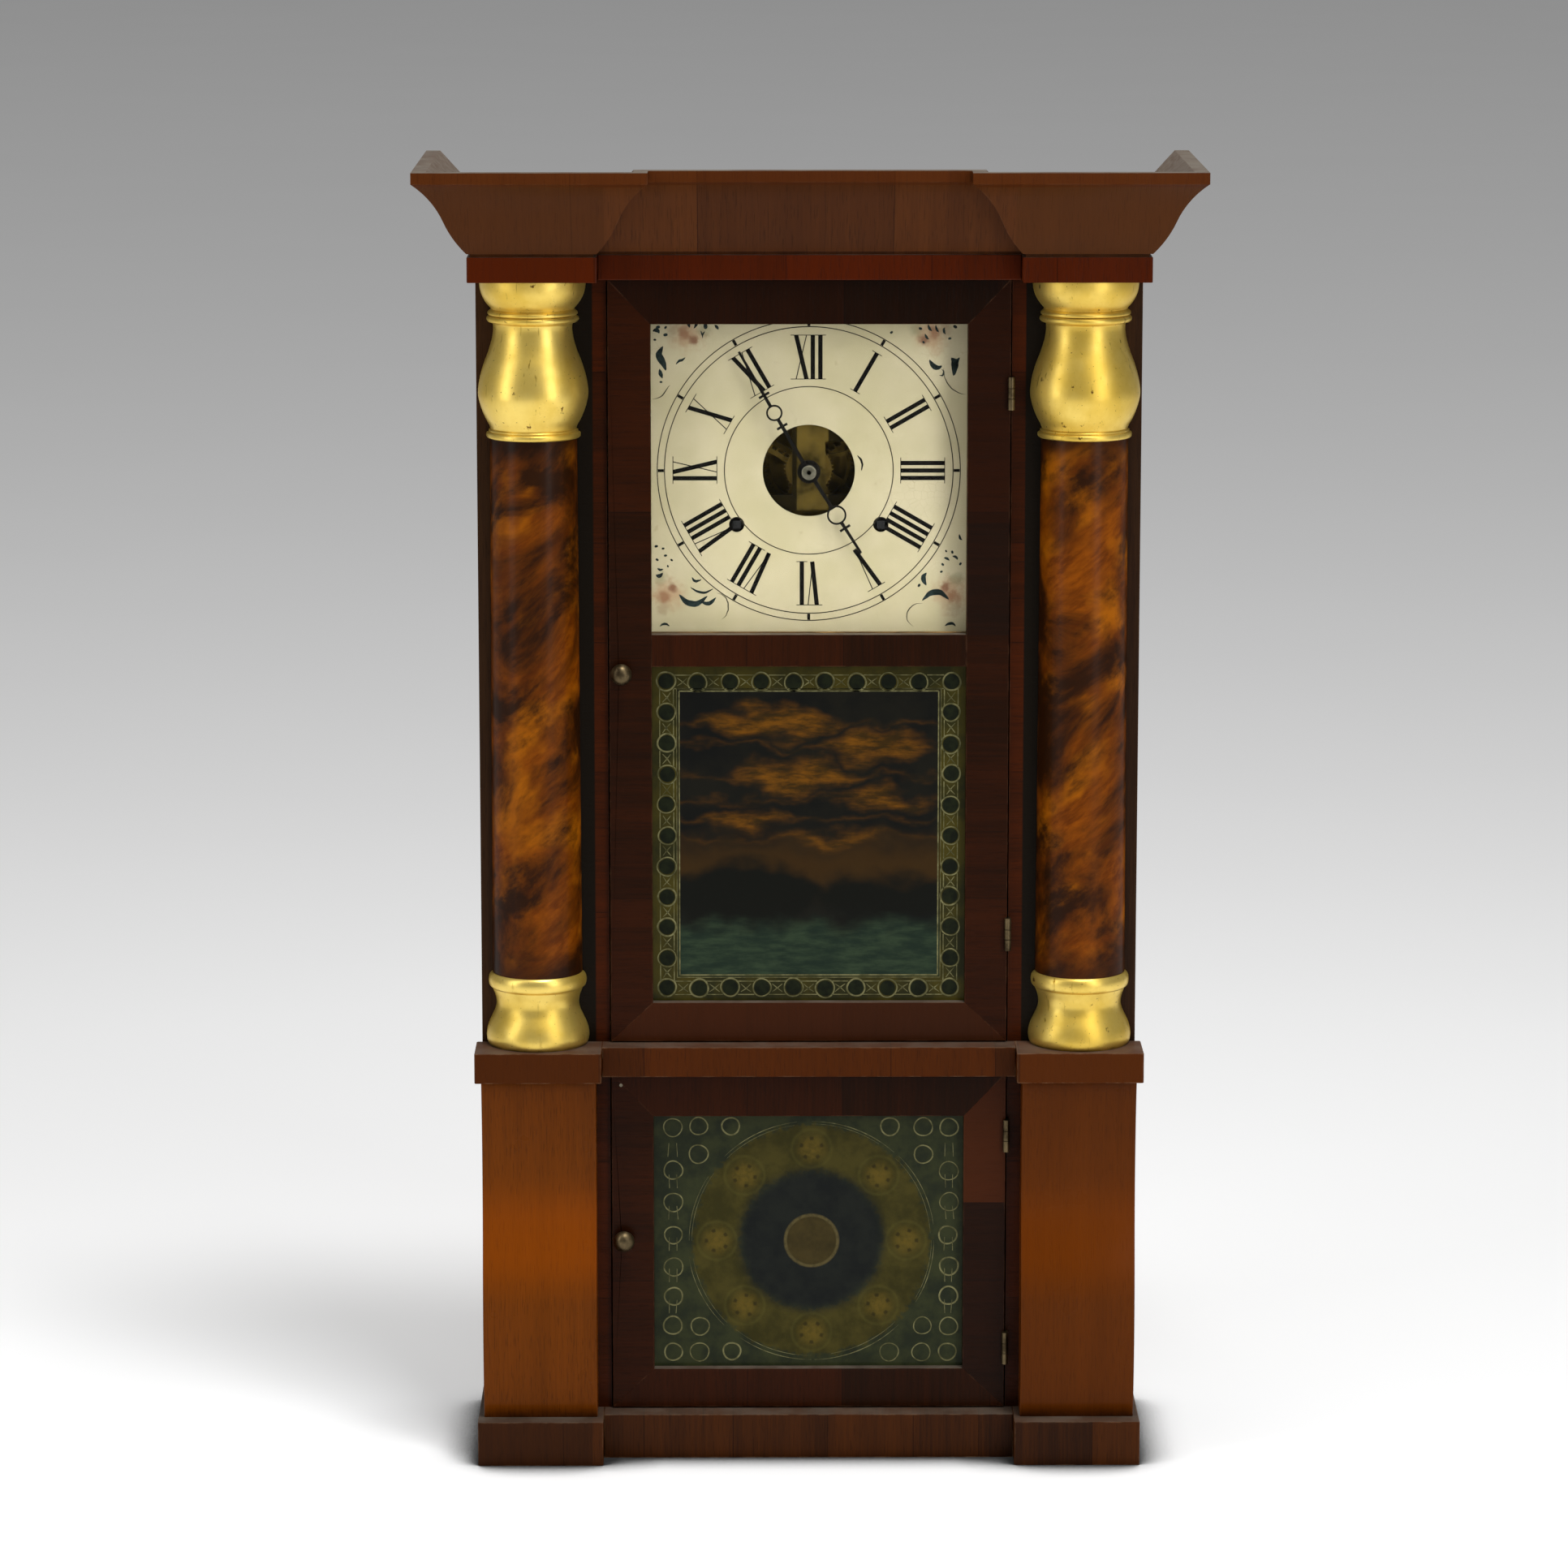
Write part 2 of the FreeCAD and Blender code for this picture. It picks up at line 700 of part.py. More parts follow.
def cornice():
    """The flared breakfront cornice: centre, two ends with their short returns, and two sides."""
    ahead = "-2 * cornice_flare"
    behind = "2 * cornice_seat"
    half = f"{BLOCK_HALF} + 2 * cornice_flare"

    def inner(y, offset):
        return f"{BAY_HALF} - {offset} + ({y})"

    centre_plan = [
        (f"-({inner(ahead, 'break_depth')})", ahead),
        (inner(ahead, "break_depth"), ahead),
        (inner(f"break_depth + {behind}", "break_depth"), f"break_depth + {behind}"),
        (f"-({inner(f'break_depth + {behind}', 'break_depth')})", f"break_depth + {behind}"),
    ]
    node("cornice_centre", cornice_piece("centre", "YZ_Plane", "break_depth", -1, f"-({half})",
                                         f"2 * ({half})", centre_plan))
    return_plan = [
        (inner(ahead, "0"), ahead),
        (inner(behind, "0"), behind),
        (inner(f"break_depth + {behind}", "break_depth"), f"break_depth + {behind}"),
        (inner(f"break_depth + {ahead}", "break_depth"), f"break_depth + {ahead}"),
    ]
    inner_return = cornice_piece("inner_return", "XZ_Plane", BAY_HALF, -1, ahead,
                                 f"2 * cornice_flare + break_depth + {behind}", return_plan)
    end_plan = [
        (inner(ahead, "0"), ahead),
        (f"{BLOCK_HALF} - ({ahead})", ahead),
        (f"{BLOCK_HALF} - ({behind})", behind),
        (inner(behind, "0"), behind),
    ]
    end = cornice_piece("end", "YZ_Plane", "0", -1, "0", half, end_plan)
    node("cornice_ends", end, inner_return, mirrored(end), mirrored(inner_return))
    side_plan = [
        (f"{BLOCK_HALF} - ({ahead})", ahead),
        (f"{BLOCK_HALF} - ({ahead})", "case_depth"),
        (f"{BLOCK_HALF} - ({behind})", "case_depth"),
        (f"{BLOCK_HALF} - ({behind})", behind),
    ]
    side = cornice_piece("flank", "XZ_Plane", BLOCK_HALF, 1, ahead, f"case_depth - ({ahead})", side_plan)
    node("cornice_sides", side, mirrored(side))


def hinge_places():
    """The foot of each butt hinge."""
    return {
        "upper_low": f"{UPPER_FOOT} + upper_hinge_low - hinge_height / 2",
        "upper_high": f"{UPPER_FOOT} + upper_hinge_high - hinge_height / 2",
        "lower_low": f"{LOWER_FOOT} + lower_hinge_low - hinge_height / 2",
        "lower_high": f"{LOWER_FOOT} + lower_hinge_high - hinge_height / 2",
    }


def hinge(name, foot):
    """One butt hinge: the door's leaf with one knuckle, the case's leaf with two, and the pin."""
    x = f"{OPENING_HALF} - door_gap / 2"
    y = f"{DOOR_FRONT} - hinge_knuckle_radius - hinge_clearance"
    third = "hinge_height / 3"
    bore = rod(f"{name}_bore", "hinge_pin_radius + running_clearance", "hinge_height", (x, y, foot), "Z")
    socket = rod(f"{name}_socket", "hinge_pin_radius", "hinge_height", (x, y, foot), "Z")
    pin = rod(f"{name}_pin", "hinge_pin_radius", "hinge_height", (x, y, foot), "Z")

    def knuckle(tag, low, high, inner, outer):
        length = f"({high}) - ({low})"
        barrel = rod(f"{name}_{tag}_barrel", "hinge_knuckle_radius", length, (x, y, f"{foot} + {low}"), "Z")
        neck = box(f"{name}_{tag}_neck", (inner, outer), (y, DOOR_FRONT),
                   (f"{foot} + {low}", f"{foot} + {high}"))
        return [barrel, neck]

    door_edges = (f"{DOOR_HALF} - hinge_leaf_thick", DOOR_HALF)
    case_edges = (OPENING_HALF, f"{OPENING_HALF} + hinge_leaf_thick")
    height = (foot, f"{foot} + hinge_height")
    door_leaf = box(f"{name}_door_leaf", door_edges,
                    (DOOR_FRONT, f"{DOOR_FRONT} + hinge_leaf_depth"), height)
    case_leaf = box(f"{name}_case_leaf", case_edges, (DOOR_FRONT, "block_depth + hinge_leaf_depth"), height)
    middle = knuckle("middle", f"{third} + hinge_clearance", f"2 * {third} - hinge_clearance", *door_edges)
    lowest = knuckle("lowest", "0", third, *case_edges)
    highest = knuckle("highest", f"2 * {third}", "hinge_height", *case_edges)
    door_side = cut(f"{name}_door_side", joined(f"{name}_door_blank", door_leaf, *middle), bore)
    case_side = cut(f"{name}_case_side", joined(f"{name}_case_blank", case_leaf, *lowest, *highest), socket)
    return door_side, case_side, pin


def hinges():
    """Two butt hinges on the right of each door."""
    sets = {name: hinge("hinge_" + name, foot) for name, foot in hinge_places().items()}
    for door in ("upper", "lower"):
        pair = [sets[door + "_low"], sets[door + "_high"]]
        node(f"{door}_door_hinge_leaves", *[leaves[0] for leaves in pair])
        node(f"{door}_case_hinge_leaves", *[leaf for leaves in pair for leaf in leaves[1:]])


def door(name, foot, head, low_rail, high_rail, panes, middle, knob_rise):
    """A mitred frame with rebated panes; panes maps a glass's node to the foot and head of its sight."""
    sight = f"{DOOR_HALF} - door_stile_width"
    inner_foot = f"{foot} + {low_rail}"
    inner_head = f"{head} - {high_rail}"
    stile = [(DOOR_HALF, foot), (DOOR_HALF, head), (sight, inner_head), (sight, inner_foot)]
    bottom = [(f"-({DOOR_HALF})", foot), (DOOR_HALF, foot), (sight, inner_foot), (f"-({sight})", inner_foot)]
    top = [(f"-({sight})", inner_head), (sight, inner_head), (DOOR_HALF, head), (f"-({DOOR_HALF})", head)]
    at = ("0", DOOR_FRONT, "0")
    rebates = []
    beads = []
    for pane, (low, high) in panes.items():
        wide = f"{sight} + rabbet_width"
        deep = f"{DOOR_FRONT} + lip_thick"
        behind = f"{deep} + glass_thick"
        pane_foot = f"{low} - rabbet_width"
        pane_head = f"{high} + rabbet_width"
        rebates.append(box(f"{pane}_rebate", (f"-({wide})", wide), (deep, DOOR_BACK),
                           (pane_foot, pane_head)))
        node(pane, box(f"{pane}_sheet", (f"-({wide} - pane_gap)", f"{wide} - pane_gap"), (deep, behind),
                       (f"{pane_foot} + pane_gap", f"{pane_head} - pane_gap")))
        depth = (behind, f"{behind} + bead_thick")
        upright = box(f"{pane}_upright", (sight, wide), depth, (pane_foot, pane_head))
        beads += [upright, mirrored(upright)]
        for tag, edge in (("low", (pane_foot, low)), ("high", (high, pane_head))):
            beads.append(box(f"{pane}_{tag}_strip", (f"-({sight})", sight), depth, edge))
    node(f"{name}_glazing_beads", *beads)
    mortises = [
        box(f"{key}_housing", (f"{DOOR_HALF} - hinge_leaf_thick", DOOR_HALF),
            (DOOR_FRONT, f"{DOOR_FRONT} + hinge_leaf_depth"), (place, f"{place} + hinge_height"))
        for key, place in hinge_places().items() if key.startswith(name)
    ]
    knob_x = f"knob_inset - ({DOOR_HALF})"
    hole = rod(f"{name}_knob_hole", "knob_shank_radius + running_clearance", "door_thick",
               (knob_x, DOOR_FRONT, f"{foot} + {knob_rise}"))
    right = cut(f"{name}_right_stile", pad(f"{name}_right_blank", "XZ_Plane", "door_thick", [stile], at),
                *rebates, *mortises)
    blank = pad(f"{name}_left_blank", "XZ_Plane", "door_thick", [stile], at)
    left = cut(f"{name}_left_stile", mirrored(blank), *rebates, hole)
    node(f"{name}_door_stiles", left, right)
    rails = [(tag, pad(f"{name}_{tag}_rail", "XZ_Plane", "door_thick", [outline], at))
             for tag, outline in (("bottom", bottom), ("top", top))]
    if middle:
        cross = box(f"{name}_middle_rail", (f"-({sight})", sight), (DOOR_FRONT, DOOR_BACK), middle)
        rails.append(("middle", cross))
    node(f"{name}_door_rails", *[cut(f"{name}_{tag}_rebated", rail, *rebates) for tag, rail in rails])
    turn_catch(name, knob_x, f"{foot} + {knob_rise}")


def turn_catch(name, x, z):
    """A turned brass knob whose shank carries a catch behind the stile."""
    tail = "door_thick + free_clearance"
    profile = [
        ("0", "-knob_reach", dome_radius("knob_radius", "knob_crown")),
        ("knob_radius", "knob_crown - knob_reach"),
        ("knob_radius", "knob_crown - knob_reach + knob_rim"),
        ("knob_neck_radius", "-knob_neck"),
        ("knob_neck_radius", "-knob_collar"),
        ("knob_collar_radius", "-knob_collar"),
        ("knob_collar_radius", "-free_clearance"),
        ("knob_shank_radius", "-free_clearance"),
        ("knob_shank_radius", f"{tail} + catch_thick"),
        ("0", f"{tail} + catch_thick"),
    ]
    knob = turned(f"{name}_knob_turning", "XY_Plane", profile, (x, DOOR_FRONT, z))
    blade = box(f"{name}_catch_blank", (f"{x} - catch_width / 2", f"{x} + catch_width / 2"),
                (f"{DOOR_FRONT} + {tail}", f"{DOOR_FRONT} + {tail} + catch_thick"),
                (f"{z} - catch_width / 2", f"{z} + catch_reach"))
    eye = rod(f"{name}_catch_eye", "knob_shank_radius", "catch_thick", (x, f"{DOOR_FRONT} + {tail}", z))
    node(f"{name}_knob", knob, cut(f"{name}_catch", blade, eye))


def doors():
    """The long upper door over dial and tablet, and the lower door over one tablet."""
    dial_foot = f"{UPPER_HEAD} - upper_top_rail - dial_sight"
    rail_foot = f"{dial_foot} - upper_middle_rail"
    upper_panes = {
        "dial_glass": (dial_foot, f"{UPPER_HEAD} - upper_top_rail"),
        "upper_tablet": (f"{UPPER_FOOT} + upper_bottom_rail", rail_foot),
    }
    door("upper", UPPER_FOOT, UPPER_HEAD, "upper_bottom_rail", "upper_top_rail", upper_panes,
         (rail_foot, dial_foot), "upper_knob_rise")
    lower_panes = {"lower_tablet": (f"{LOWER_FOOT} + lower_bottom_rail", f"{LOWER_HEAD} - lower_top_rail")}
    door("lower", LOWER_FOOT, LOWER_HEAD, "lower_bottom_rail", "lower_top_rail", lower_panes,
         None, "lower_knob_rise")


def dial():
    """The painted metal dial, open at the centre and at the winding squares."""
    half = "dial_size / 2"
    holes = [("0", "0", "dial_hole_radius")]
    holes += [(f"{sign}winding_spread / 2", "-winding_drop", "winding_hole_radius") for sign in ("-", "")]
    plate = pad("dial_plate", "XZ_Plane", "dial_thick", [rectangle(f"-{half}", f"-{half}", half, half)],
                ("0", "dial_setback", DIAL), holes)
    node("dial", plate)


def inner_walls():
    """The walls of the weight channels, with the cleats of the dial and the battens of the movement."""
    half = "dial_size / 2"
    wall = box("wall", (WALL_INNER, WALL_OUTER), (STILE_BACK, BACK_INSIDE), (FLOOR, f"{CEILING} - wall_drop"))
    cleat = box("cleat", (f"{half} - cleat_lap", WALL_INNER),
                (DIAL_BACK, f"{DIAL_BACK} + cleat_thick"), (f"{DIAL} - {half}", f"{DIAL} + {half}"))
    mount = box("mount", ("mount_inset", "mount_inset + mount_width"), (PLATE_BACK, BACK_INSIDE),
                (f"{DIAL} - plate_foot", f"{DIAL} + plate_head"))
    right = [wall, cleat, mount]
    node("inner_walls", *right, *[mirrored(piece) for piece in right])


# Arbors, from the centre of the dial: across and up
GREAT_RUN = "sqrt(winding_spread * winding_spread / 4 + winding_drop * winding_drop)"
THIRD_RUN = f"centre_wheel_radius * {1 + TRAIN_LEAVES / CENTRE_TEETH}"
THIRD_X = f"{THIRD_RUN} * cos(third_angle * 1 deg)"
THIRD_Z = f"{THIRD_RUN} * sin(third_angle * 1 deg)"
ESCAPE_RUN = f"third_wheel_radius * {1 + TRAIN_LEAVES / THIRD_TEETH}"
ESCAPE_Z = f"{THIRD_Z} + sqrt(({ESCAPE_RUN}) * ({ESCAPE_RUN}) - ({THIRD_X}) * ({THIRD_X}))"
VERGE_Z = f"{ESCAPE_Z} + verge_rise"
PIN_X = f"-winding_spread / 2 + {GREAT_RUN} * cos(pin_wheel_angle * 1 deg)"
PIN_Z = f"-winding_drop + {GREAT_RUN} * sin(pin_wheel_angle * 1 deg)"
FLY_RUN = f"pin_wheel_radius * {1 + TRAIN_LEAVES / PIN_WHEEL_TEETH}"
FLY_X = f"{PIN_X} + {FLY_RUN} * cos(fly_angle * 1 deg)"
FLY_Z = f"{PIN_Z} + {FLY_RUN} * sin(fly_angle * 1 deg)"
ARBORS = {
    "third": (THIRD_X, THIRD_Z),
    "escape": ("0", ESCAPE_Z),
    "verge": ("0", VERGE_Z),
    "pin_wheel": (PIN_X, PIN_Z),
    "fly": (FLY_X, FLY_Z),
}


def movement_plates():
    """Two brass plates with windows and a tail below; the back one carries the pillars and the cock."""
    half = "plate_width / 2"
    outline = [
        (f"-{half}", "plate_head"),
        (f"-{half}", "-plate_foot"),
        ("-plate_tail_half", "-plate_foot"),
        ("-plate_tail_half", "-plate_tail_foot"),
        ("plate_tail_half", "-plate_tail_foot"),
        ("plate_tail_half", "-plate_foot"),
        (half, "-plate_foot"),
        (half, "plate_head"),
    ]
    far = "strap_half + window_width"
    windows = [
        rectangle("strap_half", "-window_drop", far, "right_window_rise"),
        rectangle(f"-({far})", "-window_drop", "-strap_half", "left_window_rise"),
        rectangle("-low_window_half", "-low_window_foot", "low_window_half", "-low_window_top"),
    ]
    pivots = [(x, z, "pivot_radius + running_clearance") for x, z in ARBORS.values()]
    winding = [(f"{sign}winding_spread / 2", "-winding_drop") for sign in ("-", "")]
    winding = [(x, z, "drum_arbor_radius + running_clearance") for x, z in winding]
    front = pad("front_sheet", "XZ_Plane", "plate_thick", [outline, *windows], ("0", PLATE_FRONT, DIAL),
                [("0", "0", "hour_pipe_radius + running_clearance"), *pivots, *winding])
    stud = rod("minute_stud", "pivot_radius", "minute_wheel_layer + 2 * wheel_thick",
               ("0", WORKS_FRONT, f"{DIAL} - motion_distance"))
    node("front_plate", joined("front_plate_studded", front, stud))
    through = [hole for hole in pivots if hole[1] != VERGE_Z]
    through.append(("0", VERGE_Z, "arbor_radius + running_clearance"))
    back = pad("back_sheet", "XZ_Plane", "plate_thick", [outline, windows[2]], ("0", WORKS_BACK, DIAL),
               [("0", "0", "pivot_radius + running_clearance"), *through, *winding])
    hammer_stud = rod("hammer_stud", "arbor_radius", "hammer_offset + hammer_hub_length / 2",
                      ("-hammer_left", PLATE_BACK, f"{DIAL} - hammer_drop"))
    pillar = rod("pillar", "pillar_radius", "plate_spacing",
                 ("plate_width / 2 - pillar_inset", WORKS_FRONT, f"{DIAL} + plate_head - pillar_inset"))
    low_pillar = rod("low_pillar", "pillar_radius", "plate_spacing",
                     ("low_pillar_half", WORKS_FRONT, f"{DIAL} - plate_tail_foot + pillar_inset"))
    cock = box("cock", ("-cock_half", "cock_half"), (PLATE_BACK, f"{PLATE_BACK} + cock_reach"),
               (f"{DIAL} + {VERGE_Z} + cock_rise", f"{DIAL} + {VERGE_Z} + cock_rise + cock_height"))
    pillars = [pillar, low_pillar, mirrored(pillar), mirrored(low_pillar)]
    node("back_plate", joined("back_plate_studded", back, hammer_stud), cock, *pillars)


def circle_wire(radius):
    """A circle in the plane of a wheel."""
    return Part.Wire(Part.makeCircle(radius, Vector(), Vector(0, 1, 0)))


def polar(radius, angle):
    """A point of a wheel, with the angle in degrees from +X towards +Z."""
    return Vector(radius * math.cos(math.radians(angle)), 0, radius * math.sin(math.radians(angle)))


def toothed_wire(teeth, pitch_radius, share, turn):
    """A gear's outline with one tooth centred on the angle turn."""
    module = 2 * pitch_radius / teeth
    tip = pitch_radius + ADDENDUM * module
    root = pitch_radius - DEDENDUM * module
    pitch = 360 / teeth
    points = []
    for tooth in range(teeth):
        middle = turn + tooth * pitch
        for radius, offset in ((root, -share / 2), (tip, -share * TIP_SHARE / 2),
                               (tip, share * TIP_SHARE / 2), (root, share / 2)):
            points.append(polar(radius, middle + offset * pitch))
    return Part.makePolygon(points + points[:1])


def ratchet_wire(teeth, radius, height, turn):
    """The escape wheel's outline of leaning teeth."""
    pitch = 360 / teeth
    points = []
    for tooth in range(teeth):
        points.append(polar(radius, turn + tooth * pitch))
        for share in RATCHET_ROOT:
            points.append(polar(radius - height, turn + (tooth + share) * pitch))
    return Part.makePolygon(points + points[:1])


def crossing_wires(inner, outer, spokes, width, turn):
    """The windows between a wheel's spokes."""
    wires = []
    step = 360 / spokes
    for spoke in range(spokes):
        inner_lean = math.degrees(math.asin(width / 2 / inner))
        outer_lean = math.degrees(math.asin(width / 2 / outer))
        start = turn + spoke * step
        end = start + step
        middle = start + step / 2
        corners = [
            polar(inner, start + inner_lean),
            polar(outer, start + outer_lean),
            polar(outer, end - outer_lean),
            polar(inner, end - inner_lean),
        ]
        wires.append(Part.Wire([
            Part.makeLine(corners[0], corners[1]),
            Part.Arc(corners[1], polar(outer, middle), corners[2]).toShape(),
            Part.makeLine(corners[2], corners[3]),
            Part.Arc(corners[3], polar(inner, middle), corners[0]).toShape(),
        ]))
    return wires


def slab(outer, holes, start, thick):
    """A flat outline with holes, as thick as a wheel, standing from a depth."""
    face = Part.makeFace([outer, *holes], "Part::FaceMakerBullseye")
    solid = face.extrude(Vector(0, thick, 0))
    solid.translate(Vector(0, start, 0))
    return solid


def bar(radius, start, end):
    """A round length of an arbor."""
    return Part.makeCylinder(radius, end - start, Vector(0, start, 0), Vector(0, 1, 0))


def train_piece(label, solids, x, z):
    """A wheel or arbor of the movement, set at its place on the plates."""
    piece = doc.addObject("Part::Feature", label + "_arbor")
    shape = solids[0].multiFuse(solids[1:]).removeSplitter() if len(solids) > 1 else solids[0]
    piece.Shape = shape
    place = FreeCAD.Placement(Vector(number(x), 0, number(f"{DIAL} + {z}")), FreeCAD.Rotation())
    piece.Placement = place.multiply(shape.Placement)
    node(label, piece)


def wheel(teeth, radius, share, bore, layer, thick, turn, spokes=0):
    """A crossed-out wheel; without spokes it stays a disc."""
    holes = [circle_wire(bore)] if bore else []
    if spokes:
        rim = radius - RIM_MODULES * 2 * radius / teeth
        hub = bore + number("spoke_width")
        holes += crossing_wires(hub, rim, spokes, number("spoke_width"), turn)
    return slab(toothed_wire(teeth, radius, share, turn), holes, layer, thick)


def angle_between(start, end):
    """The direction from one arbor to another, in degrees."""
    across = number(end[0]) - number(start[0])
    return math.degrees(math.atan2(number(end[1]) - number(start[1]), across))


def gap_turn(angle, leaves):
    """The turn that sets a gap of a pinion towards an angle."""
    return angle + 180 / leaves


def trains():
    """The going train, the strike train and the motion work, each wheel in mesh with the next."""
    front = number(WORKS_FRONT)
    back = number(WORKS_BACK)
    arbor = number("arbor_radius")
    pivot = number("pivot_radius")
    reach = number("pivot_reach")
    thick = number("wheel_thick")
    pinion = number("pinion_length")
    end_play = number("end_play")
    centre = ("0", "0")
    time_arbor = ("winding_spread / 2", "-winding_drop")
    strike_arbor = ("-winding_spread / 2", "-winding_drop")

    def arbor_solids():
        return [bar(arbor, front + end_play, back - end_play), bar(pivot, front - reach, back + reach)]

    def leaves(count, radius, start, length, turn):
        return wheel(count, radius, PINION_TOOTH_SHARE, 0, start, length, turn)

    great_radius = number(GREAT_RUN) * GREAT_TEETH / (GREAT_TEETH + TRAIN_LEAVES)
    great_pinion = number(GREAT_RUN) - great_radius
    great_thick = number("great_wheel_thick")
    great_bore = number("drum_arbor_radius + running_clearance")
    time_layer = back - number("time_great_layer")
    strike_layer = front + number("strike_great_layer")
    for label, place, partner, layer in (
            ("time_great_wheel", time_arbor, centre, time_layer),
            ("strike_great_wheel", strike_arbor, ARBORS["pin_wheel"], strike_layer)):
        great_wheel = wheel(GREAT_TEETH, great_radius, WHEEL_TOOTH_SHARE, great_bore, layer, great_thick,
                            angle_between(place, partner), spokes=5)
        train_piece(label, [great_wheel], *place)

    def straddle(layer, wheel_thick):
        return layer + wheel_thick / 2 - pinion / 2

    centre_layer = back - number("centre_layer")
    centre_radius = number("centre_wheel_radius")
    nose = number("dial_setback - minute_hand_lift - hand_thick")
    train_piece("centre_wheel", [
        bar(arbor, nose, back - end_play),
        bar(pivot, back - end_play, back + reach),
        wheel(CENTRE_TEETH, centre_radius, WHEEL_TOOTH_SHARE, arbor, centre_layer, thick,
              angle_between(centre, ARBORS["third"]), spokes=4),
        leaves(TRAIN_LEAVES, great_pinion, straddle(time_layer, great_thick), pinion,
               gap_turn(angle_between(centre, time_arbor), TRAIN_LEAVES)),
    ], *centre)

    third_layer = front + number("third_layer")
    third_radius = number("third_wheel_radius")
    third = ARBORS["third"]
    train_piece("third_wheel", arbor_solids() + [
        wheel(THIRD_TEETH, third_radius, WHEEL_TOOTH_SHARE, arbor, third_layer, thick,
              angle_between(third, ARBORS["escape"]), spokes=4),
        leaves(TRAIN_LEAVES, centre_radius * TRAIN_LEAVES / CENTRE_TEETH,
               straddle(centre_layer, thick), pinion, gap_turn(angle_between(third, centre), TRAIN_LEAVES)),
    ], *third)

    escape_layer = front + number("escape_layer")
    escape_radius = number("escape_wheel_radius")
    tooth_height = number("escape_tooth_height")
    spoke_width = number("escape_spoke_width")
    escape = ARBORS["escape"]
    escape_holes = crossing_wires(arbor + spoke_width, escape_radius - 2 * tooth_height, 4, spoke_width, 0)
    train_piece("escape_wheel", arbor_solids() + [
        slab(ratchet_wire(ESCAPE_TEETH, escape_radius, tooth_height, 90), escape_holes, escape_layer, thick),
        leaves(TRAIN_LEAVES, third_radius * TRAIN_LEAVES / THIRD_TEETH,
               straddle(third_layer, thick), pinion, gap_turn(angle_between(escape, third), TRAIN_LEAVES)),
    ], *escape)

    pin_layer = back - number("pin_wheel_layer")
    pin_radius = number("pin_wheel_radius")
    pin_place = ARBORS["pin_wheel"]
    fly_place = ARBORS["fly"]
    train_piece("strike_pin_wheel", arbor_solids() + [
        wheel(PIN_WHEEL_TEETH, pin_radius, WHEEL_TOOTH_SHARE, arbor, pin_layer, thick,
              angle_between(pin_place, fly_place), spokes=4),
        leaves(TRAIN_LEAVES, great_pinion, straddle(strike_layer, great_thick), pinion,
               gap_turn(angle_between(pin_place, strike_arbor), TRAIN_LEAVES)),
    ], *pin_place)

    fly_start = back - number("fly_layer")
    fly_width = number("fly_width")
    fly_thick = number("fly_thick")
    blade = Part.makeBox(fly_width, number("fly_length"), fly_thick,
                         Vector(-fly_width / 2, fly_start, -fly_thick / 2))
    train_piece("strike_fly", arbor_solids() + [
        blade,
        leaves(TRAIN_LEAVES, pin_radius * TRAIN_LEAVES / PIN_WHEEL_TEETH,
               straddle(pin_layer, thick), pinion,
               gap_turn(angle_between(fly_place, pin_place), TRAIN_LEAVES)),
    ], *fly_place)

    stud = ("0", "-motion_distance")
    run = number("motion_distance")
    hour_layer = front + number("hour_wheel_layer")
    minute_layer = front + number("minute_wheel_layer")
    stud_bore = number("pivot_radius + running_clearance")
    minute_radius = run * MINUTE_TEETH / (MINUTE_TEETH + CANNON_LEAVES)
    small_radius = run * MINUTE_LEAVES / (MINUTE_LEAVES + HOUR_TEETH)
    small_start = front + end_play
    small_length = minute_layer - small_start
    train_piece("minute_wheel", [
        wheel(MINUTE_TEETH, minute_radius, WHEEL_TOOTH_SHARE, stud_bore, minute_layer, thick,
              angle_between(stud, centre)),
        wheel(MINUTE_LEAVES, small_radius, PINION_TOOTH_SHARE, stud_bore, small_start, small_length,
              gap_turn(angle_between(stud, centre), MINUTE_LEAVES)),
    ], *stud)

    cannon_bore = number("arbor_radius + running_clearance")
    cannon = number("cannon_radius")
    hand_front = number("dial_setback - minute_hand_lift")
    hour_bore = number("cannon_radius + running_clearance")
    hour_pipe = number("hour_pipe_radius")
    hour_front = number("dial_setback - hour_hand_lift")
    pipe_length = hour_layer + thick - hour_front
    pipe = slab(circle_wire(hour_pipe), [circle_wire(hour_bore)], hour_front, pipe_length)
    train_piece("hour_wheel", [
        pipe,
        wheel(HOUR_TEETH, run - small_radius, WHEEL_TOOTH_SHARE, hour_bore, hour_layer, thick,
              angle_between(centre, stud)),
    ], *centre)
    cannon_end = minute_layer + thick + end_play
    cannon_start = minute_layer - end_play
    train_piece("cannon_pinion", [
        slab(circle_wire(cannon), [circle_wire(cannon_bore)], hand_front, cannon_end - hand_front),
        wheel(CANNON_LEAVES, run - minute_radius, PINION_TOOTH_SHARE, cannon_bore, cannon_start,
              cannon_end - cannon_start, gap_turn(angle_between(centre, stud), CANNON_LEAVES)),
    ], *centre)


